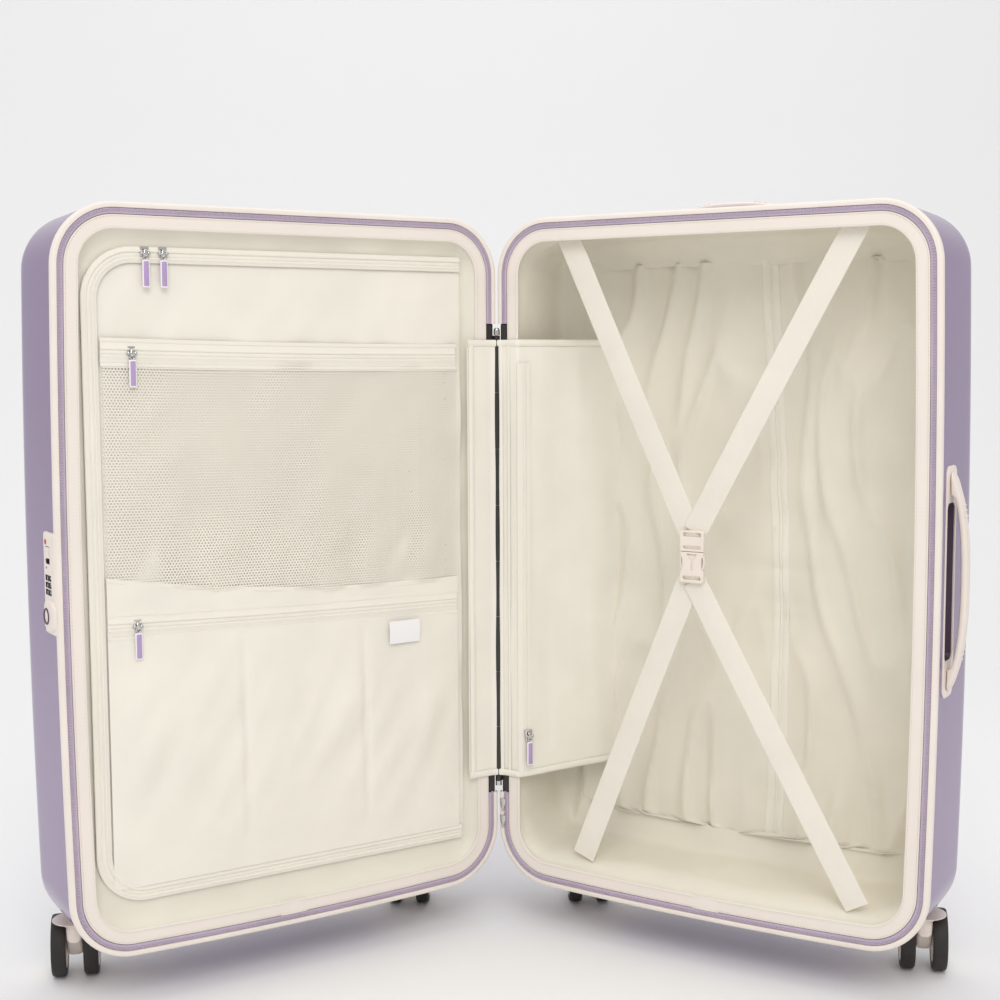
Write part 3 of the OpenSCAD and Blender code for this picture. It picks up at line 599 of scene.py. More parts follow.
def piping_cloth():
    """Woven binding tape: matt, with a weave that shows on seams and edges."""
    return cloth("woven_binding_tape", colours().divider, 0.62, 0.8, 0.15, 0.96, 0.12)


def lip_cloth():
    """Woven tape on the lip: matt, in the bead's tone."""
    return cloth("woven_lip_tape", colours().bead, 0.6, 0.9, 0.15, 0.97, 0.1)


def net_yarn():
    """Knitted polyester yarn: matt strands round open holes."""
    return cloth("knitted_net_yarn", colours().divider, 0.6, 0.5, 0.2, 0.97, 0.02)


def label_satin():
    """Woven satin: a small smooth white label."""
    return cloth("woven_label_satin", linear("#F4F2F2"), 0.35, 0.6, 0.2, 0.98, 0.03)


def webbing():
    """Woven polypropylene webbing: a herringbone of flat ribs across the strap, slightly glossy."""
    colour = colours().webbing
    material, tree, shader = new_material("woven_polypropylene_webbing", colour, 0.48, IOR=1.49,
                                          Sheen_Weight=0.15, Sheen_Roughness=0.3)
    coord = add_node(tree, "ShaderNodeTexCoord")
    tone(tree, shader, colour, coord.outputs["Object"], 20, 0.95)
    weave = threads(tree, coord.outputs["UV"], 1.6 * MM, 1.3 * MM)
    bump(tree, shader, weave, 0.2 * MM, 0.9)
    return material


def zip_nylon():
    """Dyed nylon zip tape: a tight matt weave that reads as a soft lilac line."""
    return cloth("dyed_nylon_zip_tape", colours().zip, 0.6, 0.7, 0.2, 0.85, 0.1)


def zip_coil():
    """Moulded nylon teeth: a little darker and shinier than their tape."""
    return moulded("moulded_zip_coil", [c * 0.9 for c in colours().zip], 0.4, 0.6, 0.02, 0.85)


def cream_coil():
    """Moulded nylon coil in cream: fine bright ribs on the inner zips."""
    return moulded("moulded_cream_coil", colours().divider, 0.4, 0.6, 0.02, 0.93)


def stitching():
    """Polyester thread: matt stitches that stand out from the tape."""
    return moulded("polyester_thread", linear("#E3DACB"), 0.6, 0.4, 0.03, 0.9)


MAKERS = {f.__name__: f for f in (
    polycarbonate, cream_abs, bead_tpe, recess_shade_abs, black_abs, tyre_rubber, chrome, puller_enamel,
    white_enamel, red_enamel, aluminium, lining_cloth, divider_cloth, piping_cloth, lip_cloth,
    net_yarn, label_satin, webbing, zip_nylon, zip_coil, cream_coil, stitching)}


# ---------- Shells and rim ----------

RIM_BACK = PARTING + 6 * MM
WELL_REACH = 54 * MM
TOOTH = Vector((1.5, 2.5, 1.2)) * MM


def wall_rows(start, depth, radius, offset=0.0, steps=12, straight=8):
    """(inset, depth) pairs down a drafted wall and round into the broad face."""
    rows = [(offset + DRAFT * (start + (depth - radius - start) * i / straight),
             start + (depth - radius - start) * i / straight) for i in range(straight)]
    for i in range(steps + 1):
        a = math.pi / 2 * i / steps
        rows.append((offset + DRAFT * (depth - radius) + radius * (1 - math.cos(a)),
                     depth - radius + radius * math.sin(a)))
    return rows


def ring(half, inset, depth, base_extra=0.0):
    """Points round the outline at an inset and a depth."""
    return [spot(half, u, depth, z) for u, z in outline(inset, base_extra)]


def well_edge(d):
    """Height of the caster housing's upper edge at a depth: level at the back, dropping to the rim."""
    return Z0 - 8 * MM + 23 * MM * ramp((d - 6 * MM) / (46 * MM))


def well_prism(half, u0, u1, drop=0.0, shift=0.0):
    """Solid below the housing's upper edge, from u0 to u1."""
    depths = [(-10 + 174 * i / 58) * MM for i in range(59)]
    section = [(d + shift, well_edge(d) - drop) for d in depths]
    section += [(depths[-1] + shift, Z0 - 60 * MM), (depths[0] + shift, Z0 - 60 * MM)]
    piece = Piece()
    piece.tube([[spot(half, u, d, z) for d, z in section] for u in (u0, u1)])
    return piece.finish("cutter", [])


def caster_u(half):
    """Distances of the two swivel axes from the hinge line."""
    return [abs((HALF[half].inverted() @ Vector(joint(f"{half}_{place}_caster_swivel")["pos_m"])).x)
            for place in ("inner", "outer")]


def block_cutter(half, low, high):
    """A box between two corners, for cutting."""
    piece = Piece()
    centre, size = (low + high) / 2, high - low
    piece.block(size, HALF[half] @ Matrix.Translation(centre))
    return piece.finish("cutter", [])


def build_shell(half):
    """Moulded half shell with openings for the wells, handles, trolley or lock."""
    s = sizes()
    wall = s.shell_wall
    outer = wall_rows(RIM_BACK, DEPTH, s.edge_radius)
    inner = wall_rows(RIM_BACK, DEPTH - wall, s.edge_radius - wall, wall)
    rows = [ring(half, i, d) for i, d in outer]
    base = len(rows[0])
    piece = Piece()
    piece.grid(rows, closed=True)
    piece.cap((len(rows) - 1) * base, base)
    start = piece.grid([ring(half, i, d) for i, d in inner], closed=True)
    piece.cap(start + (len(inner) - 1) * base, base)
    piece.faces += [[j, (j + 1) % base, start + (j + 1) % base, start + j] for j in range(base)]
    piece.marks += [0] * base
    shell = piece.finish(f"{half}_shell_skin", [finish_of("polycarbonate")])
    inner_u, outer_u = caster_u(half)
    cut(shell, well_prism(half, -20 * MM, inner_u + WELL_REACH))
    cut(shell, well_prism(half, outer_u - WELL_REACH, X1 + 20 * MM))
    gap = Vector((0.3, 0.3, 0.3)) * MM
    if half == "back":
        low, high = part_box("trolley_housing")
        cut(shell, block_cutter(half, low - gap, high + gap + Vector((0, 8, 8)) * MM))
        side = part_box("side_handle")
        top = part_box("top_handle")
        mount = 16 * MM
        y = (side[0].y + side[1].y) / 2
        cut(shell, block_cutter(half, Vector((X1 - 4 * MM, y - mount, side[0].z)),
                                Vector((X1 + 20 * MM, y + mount, side[1].z))))
        y = (top[0].y + top[1].y) / 2
        cut(shell, block_cutter(half, Vector((top[0].x, y - mount, Z1 - 10 * MM)),
                                Vector((top[1].x, y + mount, Z1 + 20 * MM))))
    else:
        low, high = local_box(half, "lock_case")
        cut(shell, block_cutter(half, low - gap - Vector((0, 4, 0)) * MM,
                                high + gap + Vector((12, 0, 0)) * MM))
    shade(shell)
    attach(shell, f"{half}_half")
    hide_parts(f"{half}_shell")
    build_ribs(half)


def build_ribs(half):
    """Gentle upright ribs across the broad face, fading out at both ends."""
    s = sizes()
    piece = Piece()
    middle = (X0 + X1) / 2
    width = 15 * MM
    for k in range(s.rib_count):
        u = middle + (k - (s.rib_count - 1) / 2) * s.rib_pitch
        spare = abs(u - middle) / (s.rib_pitch * s.rib_count / 2)
        z_low = Z0 + s.edge_radius + (26 + 14 * spare ** 3) * MM
        z_high = Z1 - s.edge_radius - (12 + 14 * spare ** 3) * MM
        rows = []
        for i in range(61):
            t = i / 60
            end = min(t, 1 - t) * (z_high - z_low) / (18 * MM)
            height = s.rib_height * ramp(end)
            across = [-1 + 2 * j / 12 for j in range(13)]
            rows.append([spot(half, u + width / 2 * a,
                              DEPTH - 0.02 * MM + height * 0.5 * (1 + math.cos(math.pi * a)),
                              z_low + (z_high - z_low) * t) for a in across])
        piece.grid(rows)
    piece.finish(f"{half}_shell_ribs", [finish_of("polycarbonate")], f"{half}_half", slot="shell")


def build_housing(half):
    """Cream corner housings over the casters, flared down into each caster's neck."""
    s = sizes()
    outer = wall_rows(7 * MM, DEPTH, s.edge_radius)
    inner_u, outer_u = caster_u(half)
    reach = WELL_REACH - 0.3 * MM
    ends = ((X0 - 10 * MM, inner_u + reach), (outer_u - reach, X1 + 20 * MM))
    for name, u, (u0, u1) in zip(("inner", "outer"), (inner_u, outer_u), ends):
        piece = Piece()
        rows = [ring(half, i, d) for i, d in outer]
        base = len(rows[0])
        piece.grid(rows, closed=True)
        piece.cap(0, base)
        piece.cap((len(rows) - 1) * base, base)
        body = piece.finish(f"{half}_{name}_housing", [finish_of("cream_abs")])
        cut(body, well_prism(half, u0, u1, drop=0.4 * MM), "INTERSECT")
        wall = 3 * MM
        cut(body, well_prism(half, u0 + (wall if name == "outer" else -40 * MM),
                             u1 + (40 * MM if name == "outer" else -wall), drop=4.4 * MM, shift=3 * MM))
        shade(body)
        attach(body, f"{half}_half")
        flare = Piece()
        depth = 92 * MM
        profile = [(8.1, 55), (8.6, 55.4), (9.6, 56.6), (11, 57.8), (13.4, 59.2), (16.4, 60.6),
                   (19.4, 61.6), (20.4, 62.2), (20.4, 62.8), (5, 62.8), (5, 55)]
        flare.turned([(r * MM, h * MM) for r, h in profile],
                     Matrix.Translation(spot(half, u, depth, 0)), closed=True)
        skirt = flare.finish(f"{half}_{name}_neck", [finish_of("cream_abs")], f"{half}_half",
                             slot="cream_plastic")
        if name == "inner":
            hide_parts(f"{half}_caster_housings")


def build_rim(half):
    """Cream bead and lilac zip with its teeth, round the mouth of one half."""
    s = sizes()
    bw, bd = s.bead_width, s.bead_depth
    section = [(-PROUD, bd), (-PROUD * 1.05, 2.6 * MM), (-0.5 * MM, 1.1 * MM),
               (0.3 * MM, 0.35 * MM), (1.2 * MM, 0.05 * MM), (bw - 1.2 * MM, 0),
               (bw - 0.4 * MM, 0.2 * MM), (bw, 0.8 * MM), (bw, bd)]
    bead = Piece()
    rows = [[spot(half, u, PARTING + d, z) for u, z in rim_path(inset)] for inset, d in section]
    bead.grid(rows)
    bead.finish(f"{half}_rim_bead", [finish_of("bead_tpe")], f"{half}_half", slot="bead",
                replaces=[f"{half}_bead"])
    tape = Piece()
    start, width = bw + 0.1 * MM, s.zip_width
    tape_section = [(start, 2.6), (start + 0.3 * MM, 1.2), (start + width * 0.3, 0.8),
                    (start + width * 0.5, 1.0), (start + width * 0.75, 0.9),
                    (start + width - 0.2 * MM, 1.3), (start + width, 2.6)]
    rows = [[spot(half, u, PARTING + d * MM, z) for u, z in rim_path(inset)]
            for inset, d in tape_section]
    tape.grid(rows, uv=[[(x, k * 1.2 * MM) for x in distances(rows[0])] for k in range(len(rows))])
    for step in resample(rim_path(start + width * 0.36), s.tooth_pitch):
        tape.block(TOOTH, seam_place(half, step, PARTING + 0.55 * MM), 0.3 * MM, 1, 1)
    tape.finish(f"{half}_main_zip", [finish_of("zip_nylon"), finish_of("zip_coil")], f"{half}_half",
                slot="zip", replaces=[f"{half}_zip"])


def build_lip(half):
    """Flat stitched tape inside the zip, with its overlap joint at the base."""
    s = sizes()
    start = s.bead_width + s.zip_width + 0.4 * MM
    width = s.lip_width
    section = [(0, 2.4), (0.2, 1.3), (0.9, 0.9), (1.6, 1.15), (2.6, 1.0), (5.5, 1.1), (8.6, 1.0),
               (10.4, 1.2), (11.4, 0.85), (12.4, 1.05), (13.0, 1.9), (12.7, 3.0)]
    piece = Piece()
    scale = width / (13 * MM)
    rows = [ring(half, start + a * MM * scale, PARTING + b * MM) for a, b in section]
    piece.grid(rows, closed=True, uv=[[(x, a * MM) for x in distances(rows[0])] for a, _ in section])
    for inset in (1.7, 11.2):
        loop = outline(start + inset * MM * scale)
        for step in resample(loop + [loop[0]], 3.4 * MM):
            piece.block(Vector((2.3, 0.5, 0.4)) * MM, seam_place(half, step, PARTING + 0.85 * MM),
                        0.12 * MM, 1, 1)
    middle = X0 + (X1 - X0) * 0.52
    patch = [[spot(half, middle + a * 14 * MM,
                   PARTING + (0.75 - 0.25 * math.cos(math.pi * a) + 0.1 * b) * MM,
                   Z0 - s.base_bow * 0.98 + start + width * b)
              for a in (-1, -0.96, -0.5, 0, 0.5, 0.96, 1)]
             for b in (-0.02, 0.1, 0.5, 0.9, 1.04)]
    piece.grid(patch, uv=[[(j * 4 * MM, i * 3 * MM) for j in range(7)] for i in range(5)])
    piece.finish(f"{half}_lip_tape", [finish_of("lip_cloth"), finish_of("stitching")], f"{half}_half",
                 slot="lining")


# ---------- Lining ----------

def folds(u, z, seed):
    """Soft upright folds of a loosely hung cloth, from 0 to 1."""
    p = Vector((u / (75 * MM), z / (260 * MM), seed))
    broad = noise.noise(p + Vector((0.4 * noise.noise(p * 1.7), 0, 3)))
    sharp = 1 - abs(noise.noise(Vector((u / (42 * MM) + 0.5 * broad, z / (150 * MM), seed + 7)))) * 2.2
    fine = noise.noise(Vector((u / (15 * MM), z / (30 * MM), seed + 11)))
    return 0.45 * (0.5 + 0.5 * broad) + 0.45 * max(0.0, sharp) ** 2 + 0.1 * (0.5 + 0.5 * fine)


def seam_line(z):
    """The trolley zip's slightly bent line up the back lining."""
    t = (z - Z0) / (Z1 - Z0)
    return X0 + (0.565 + 0.03 * math.sin(3.1 * t + 0.4)) * (X1 - X0)


def lining_depth(half, u, z):
    """Depth of the loose lining over the broad face, in front of its backing."""
    back = LINING_BACK[half]
    loose = 17 * MM * folds(u, z, 2.0 if half == "back" else 5.0)
    if half == "back":
        off = u - seam_line(z)
        pull = math.exp(-(off / (26 * MM)) ** 2)
        pinch = noise.noise(Vector((z / (38 * MM), 3.3, 0))) * math.exp(-(off / (48 * MM)) ** 2)
        loose = loose * (1 - 0.8 * pull) + 6 * MM * abs(pinch)
    return back - 1.5 * MM - loose


def spans(loop, step):
    """(z, lowest u, highest u) of a closed loop at even heights."""
    low, high = min(z for _, z in loop), max(z for _, z in loop)
    count = max(2, round((high - low) / step))
    result = []
    for i in range(count + 1):
        t = i / count
        t -= 0.012 * math.sin(2 * math.pi * t)
        z = min(max(low + (high - low) * t, low + 0.05 * MM), high - 0.05 * MM)
        hits = []
        for a, b in zip(loop, loop[1:] + loop[:1]):
            if (a[1] - z) * (b[1] - z) <= 0 and a[1] != b[1]:
                hits.append(a[0] + (b[0] - a[0]) * (z - a[1]) / (b[1] - a[1]))
        result.append((z, min(hits), max(hits)))
    return result


def lining_rows(half):
    """(inset, depth, base_extra, looseness) from the lip's inner edge to the broad face."""
    s = sizes()
    radius = s.edge_radius - 13 * MM
    rows = [(22.6, 2.8, 0, 0), (21.4, 4.6, 1, 0), (19, 7.2, 4, 0.1), (16.6, 10, 9, 0.2),
            (15.2, 14, 13, 0.35), (14.8, 20, 15, 0.6)]
    rows = [(a * MM, b * MM, c * MM, w) for a, b, c, w in rows]
    back = LINING_BACK[half]
    for inset, depth in wall_rows(26 * MM, back, radius, 14.2 * MM, 10, 8):
        rows.append((inset, depth, 16 * MM, 1.0))
    return rows


def build_lining(half):
    """Loose polyester lining with folds down its walls and across its back."""
    rows, uvs = [], []
    middle = Vector(((X0 + X1) / 2, (Z0 + Z1) / 2))
    table = lining_rows(half)
    run = 0.0
    for k, (inset, depth, extra, loose) in enumerate(table):
        loop = outline(inset, extra)
        if k:
            run += math.hypot(inset - table[k - 1][0], depth - table[k - 1][1])
        row, uv, around = [], [], 0.0
        for j, (u, z) in enumerate(loop):
            if j:
                around += math.hypot(u - loop[j - 1][0], z - loop[j - 1][1])
            inward = middle - Vector((u, z))
            inward.x *= 1.5
            inward.normalize()
            wave = noise.noise(Vector((around / (34 * MM), depth / (120 * MM), 1.5)))
            sag = noise.noise(Vector((around / (90 * MM), depth / (60 * MM), 8.1)))
            corner = max(0.0, 1 - (Z1 - z) / (90 * MM)) * max(0.0, 1 - min(u - X0, X1 - u) / (110 * MM))
            amount = loose * MM * (2.2 + 2.2 * wave + 2.0 * sag + 16 * corner * (0.7 + 0.5 * wave))
            amount = max(0.2 * MM, amount)
            near = ramp((depth - (LINING_BACK[half] - 30 * MM)) / (30 * MM))
            front = (LINING_BACK[half] - lining_depth(half, u, z)) * near ** 2
            row.append(spot(half, u + inward.x * amount, depth - front, z + inward.y * amount))
            uv.append((around, run))
        rows.append(row)
        uvs.append(uv)
    piece = Piece()
    piece.grid(rows, closed=True, uv=uvs)
    inset, _, extra, _ = table[-1]
    floor_rows, floor_uv = [], []
    for z, low, high in spans(outline(inset - 1.5 * MM, extra), 4.2 * MM):
        across = [low + (high - low) * j / 110 for j in range(111)]
        floor_rows.append([spot(half, u, lining_depth(half, u, z), z) for u in across])
        floor_uv.append([(u, z) for u in across])
    piece.grid(floor_rows, uv=floor_uv)
    obj = piece.finish(f"{half}_lining_cloth", [finish_of("lining_cloth")], f"{half}_half", smooth=180,
                       slot="lining", replaces=[f"{half}_lining"], weld=True)


def build_lining_seam():
    """Zip tape down the back lining, over the trolley."""
    piece = Piece()
    top, low = Z1 - 40 * MM, Z0 + 44 * MM
    rows, uvs = [], []
    count = 260
    for i in range(count + 1):
        z = top + (low - top) * i / count
        u = seam_line(z)
        row = []
        for a, lift in ((-9, 0.1), (-8, 0.9), (-2.6, 1.1), (-1.5, 0.4), (0, 1.7),
                        (1.5, 0.4), (2.6, 1.1), (8, 0.9), (9, 0.1)):
            depth = lining_depth("back", u + a * MM, z) - lift * MM
            row.append(spot("back", u + a * MM, depth, z))
        rows.append(row)
        uvs.append([(k * 2 * MM, z) for k in range(9)])
    piece.grid(rows, uv=uvs)
    piece.finish("back_lining_seam", [finish_of("piping_cloth")], "back_half", slot="lining")


# ---------- Divider and its pockets ----------

DIV_LOW, DIV_HIGH = local_box("front", "divider_panel")
POCKET_LOW, POCKET_HIGH = local_box("front", "mesh_pocket")
DIV_RADIUS = 48 * MM
TAPE_WIDTH = 15 * MM
PANEL_DEPTH = DIV_LOW.y + 3.6 * MM


def divider_path(inset):
    """Open path round the divider, from the hinge side over the top and back along the base."""
    u0, u1 = DIV_LOW.x + 1 * MM, DIV_HIGH.x - inset
    z0, z1 = DIV_LOW.z + inset, DIV_HIGH.z - inset
    r = DIV_RADIUS - inset
    points = [(u0 + (u1 - r - u0) * i / 24, z1) for i in range(25)]
    points += [(u1 - r + r * math.sin(a), z1 - r + r * math.cos(a))
               for a in (math.pi / 2 * i / 16 for i in range(1, 17))]
    points += [(u1, z1 - r + (z0 + r - z1 + r) * i / 40) for i in range(1, 41)]
    points += [(u1 - r + r * math.cos(a), z0 + r - r * math.sin(a))
               for a in (math.pi / 2 * i / 16 for i in range(1, 17))]
    points += [(u1 - r + (u0 - u1 + r) * i / 24, z0) for i in range(1, 25)]
    return points


def zip_band(piece, points, half, depth, width, mark_tape, mark_coil, pitch=1.6 * MM, ridge=1.0):
    """Zip along (u, z) points: two tape ridges with a ribbed coil between them."""
    line = resample(points, pitch)
    width_way, depth_way, up = axes(half)
    edge = width / 2
    section = [(-edge, 0.0), (-edge + 0.6 * MM, 0.9), (-4.6 * MM, 1.2), (-3.6 * MM, 1.7),
               (-2.5 * MM, 1.5), (-2.1 * MM, 0.6), (2.1 * MM, 0.6), (2.5 * MM, 1.5),
               (3.6 * MM, 1.7), (4.6 * MM, 1.2),
               (edge - 0.6 * MM, 0.9), (edge, 0.0)]
    rows, uvs, coil = [], [], []
    for k, (u, z, du, dz) in enumerate(line):
        centre = spot(half, u, depth, z)
        side = width_way * -dz + up * du
        rows.append([centre + side * a - depth_way * b * MM * ridge for a, b in section])
        uvs.append([(k * pitch, a) for a, _ in section])
        high = 1.35 if k % 2 else 0.95
        coil.append([centre + side * a - depth_way * b * MM for a, b in
                     ((-2.2 * MM, 0.5), (-1.4 * MM, high), (0, high + 0.15), (1.4 * MM, high),
                      (2.2 * MM, 0.5))])
    piece.grid(rows, mark_tape, uv=uvs)
    piece.grid(coil, mark_coil)


def panel_bulge(u, z):
    """How far the divider's cloth stands out, with slack folds pulled from its corners."""
    tu = (u - DIV_LOW.x) / (DIV_HIGH.x - DIV_LOW.x)
    tz = (z - DIV_LOW.z) / (DIV_HIGH.z - DIV_LOW.z)
    edge = min(1.0, 6 * min(1 - tu, tz, 1 - tz))
    slant = noise.noise(Vector(((u * 0.8 + z * 0.6) / (26 * MM), (z * 0.8 - u * 0.6) / (120 * MM), 4.4)))
    broad = noise.noise(Vector((u / (90 * MM), z / (80 * MM), 1.3)))
    return edge * MM * (1.2 + 2.6 * slant + 1.8 * broad)


def build_divider():
    """Divider cloth in a zipped surround, with two sliders."""
    piece = Piece()
    rows, uvs = [], []
    loop = divider_path(TAPE_WIDTH - 2 * MM)
    for z, _, high in spans(loop, 4 * MM):
        across = [DIV_LOW.x + (high - DIV_LOW.x) * j / 96 for j in range(97)]
        rows.append([spot("front", u, PANEL_DEPTH - panel_bulge(u, z), z) for u in across])
        uvs.append([(u, z) for u in across])
    piece.grid(rows, uv=uvs)
    cloth_piece = piece.finish("divider_cloth", [finish_of("divider_cloth")], "divider", smooth=180,
                               slot="lining", replaces=["divider_panel"])
    surround = Piece()
    zip_band(surround, divider_path(TAPE_WIDTH / 2), "front", PANEL_DEPTH - 1.6 * MM, TAPE_WIDTH, 0, 1,
             ridge=1.3)
    for step in resample(divider_path(TAPE_WIDTH), 3.6 * MM):
        surround.block(Vector((2.4, 0.5, 0.4)) * MM,
                       seam_place("front", step, PANEL_DEPTH - 2.4 * MM, 1.6 * MM), 0.12 * MM, 2, 1)
    surround.finish("divider_zip",
                    [finish_of("piping_cloth"), finish_of("cream_coil"), finish_of("stitching")],
                    "divider", slot="lining")


def build_surround():
    """Slack border of lining cloth between the front lip and the divider's zip."""
    inner = divider_path(0.5 * MM)
    inner += [(inner[-1][0], inner[-1][1] + (inner[0][1] - inner[-1][1]) * k / 40) for k in range(1, 40)]
    loop = outline(21.5 * MM, 0)
    piece = Piece()
    steps = 14
    rows, uvs = [[] for _ in range(steps + 1)], [[] for _ in range(steps + 1)]
    around = 0.0
    for j, (u, z) in enumerate(loop):
        if j:
            around += math.hypot(u - loop[j - 1][0], z - loop[j - 1][1])
        near = min(inner, key=lambda q: (q[0] - u) ** 2 + (q[1] - z) ** 2)
        gap = math.hypot(near[0] - u, near[1] - z)
        wave = noise.noise(Vector((around / (26 * MM), 0.3, 2.2)))
        for i in range(steps + 1):
            t = i / steps
            depth = 2.6 * MM + (PANEL_DEPTH + 0.8 * MM - 2.6 * MM) * t
            sag = (4.0 + 3.0 * wave) * MM * math.sin(math.pi * t) * min(1.0, gap / (22 * MM))
            rows[i].append(spot("front", u + (near[0] - u) * t, depth + sag, z + (near[1] - z) * t))
            uvs[i].append((around, gap * t))
    piece.grid(rows, closed=True, uv=uvs)
    border = piece.finish("divider_surround", [finish_of("lining_cloth")], "front_half", smooth=180,
                          slot="lining")


def line_between(z_outer, z_hinge, sag=0.0):
    """Height of a slightly slanted seam across the pockets at distance u."""
    def height(u):
        t = (POCKET_HIGH.x - u) / (POCKET_HIGH.x - POCKET_LOW.x)
        return z_outer + (z_hinge - z_outer) * t - sag * 4 * t * (1 - t)
    return height


MESH_ZIP = line_between(609 * MM, 603 * MM, 1.5 * MM)
NET_LOW = line_between(402 * MM, 376 * MM, 9 * MM)
LOW_ZIP = line_between(359 * MM, 351 * MM, 1.5 * MM)
POCKET_FOOT = line_between(112 * MM, 112 * MM)
NET_DEPTH = PANEL_DEPTH - 3.2 * MM


def pocket_edges():
    """Distances of the pockets' two sides from the hinge line."""
    return POCKET_LOW.x, POCKET_HIGH.x + 7 * MM


def net_point(u, z):
    """Point of the net pocket, slack between its top band and its gathered foot."""
    low, high = pocket_edges()
    top, foot = MESH_ZIP(u) - 9 * MM, NET_LOW(u)
    t = max((top - z) / (top - foot), 0.0)
    edge = max(min(1.0, 8 * min((u - low), (high - u)) / (high - low)), 0.0)
    pull = noise.noise(Vector((u / (30 * MM), 0.7 * t, 6.0))) * t ** 1.5
    slack = 2.6 * math.sin(math.pi * min(1, t)) + 3.2 * pull
    slack += 2.0 * noise.noise(Vector(((u + z) / (50 * MM), z / (60 * MM), 2.0)))
    return spot("front", u, NET_DEPTH - edge * max(0.1, slack + 0.6) * MM, z)


def build_net():
    """Net of knitted yarn with a hexagonal hole at every pitch, as real openings."""
    pitch = sizes().net_pitch
    low, high = pocket_edges()
    piece = Piece()
    columns = int((high - low) / pitch)
    row_step = pitch * 0.866
    rows = int((MESH_ZIP(low) - NET_LOW((low + high) / 2) + 12 * MM) / row_step)
    hole = pitch * 0.36
    for r in range(rows):
        for c in range(columns):
            u = low + (c + 0.5 + 0.5 * (r % 2)) * pitch
            z = MESH_ZIP(u) - 7 * MM - r * row_step
            if z < NET_LOW(u) - 2 * MM or u > high - 0.5 * pitch:
                continue
            outer, inner = [], []
            for k in range(6):
                a = math.pi / 6 + math.pi / 3 * k
                outer.append(net_point(u + 0.578 * pitch * math.cos(a), z + 0.578 * pitch * math.sin(a)))
                inner.append(net_point(u + hole * math.cos(a), z + hole * math.sin(a)))
            faces = [[k, (k + 1) % 6, 6 + (k + 1) % 6, 6 + k] for k in range(6)]
            piece.add(outer + inner, faces)
    net = piece.finish("pocket_net", [finish_of("net_yarn")], "divider", smooth=180, slot="lining",
                       replaces=["mesh_pocket"], weld=True)


def cloth_patch(name, low, high, top, foot, depth, body="divider", rows=40, columns=90, wave=None,
                material="divider_cloth"):
    """Cloth between two seams on the divider, with a wave that gives how far it stands out."""
    piece = Piece()
    grid, uvs = [], []
    for i in range(rows + 1):
        t = i / rows
        row, uv = [], []
        for j in range(columns + 1):
            u = low + (high - low) * j / columns
            z = top(u) + (foot(u) - top(u)) * t
            out = wave(u, z, t) if wave else 0.0
            row.append(spot("front", u, depth - out, z))
            uv.append((u, z))
        grid.append(row)
        uvs.append(uv)
    piece.grid(grid, uv=uvs)
    return piece.finish(name, [finish_of(material)], body, smooth=180, slot="lining")


def shifted(line, by):
    """A seam moved up by a distance."""
    return lambda u: line(u) + by


def drop(top, foot, low, high):
    """Mean height between two seams."""
    return sum(top(u) - foot(u) for u in (low + (high - low) * k / 20 for k in range(21))) / 21


def seam_cord(piece, line, low, high, depth, width, mark=0, height=0.8):
    """A narrow stitched fold of cloth along a seam."""
    rows = []
    uvs = []
    for i in range(101):
        u = low + (high - low) * i / 100
        z = line(u)
        rows.append([spot("front", u, depth - h * MM, z + w) for w, h in
                     ((width / 2, 0), (width / 2 - 0.5 * MM, height), (0, height * 1.15),
                      (-width / 2 + 0.5 * MM, height), (-width / 2, 0))])
        uvs.append([(u, k * width / 4) for k in range(5)])
    piece.grid(rows, mark, uv=uvs)


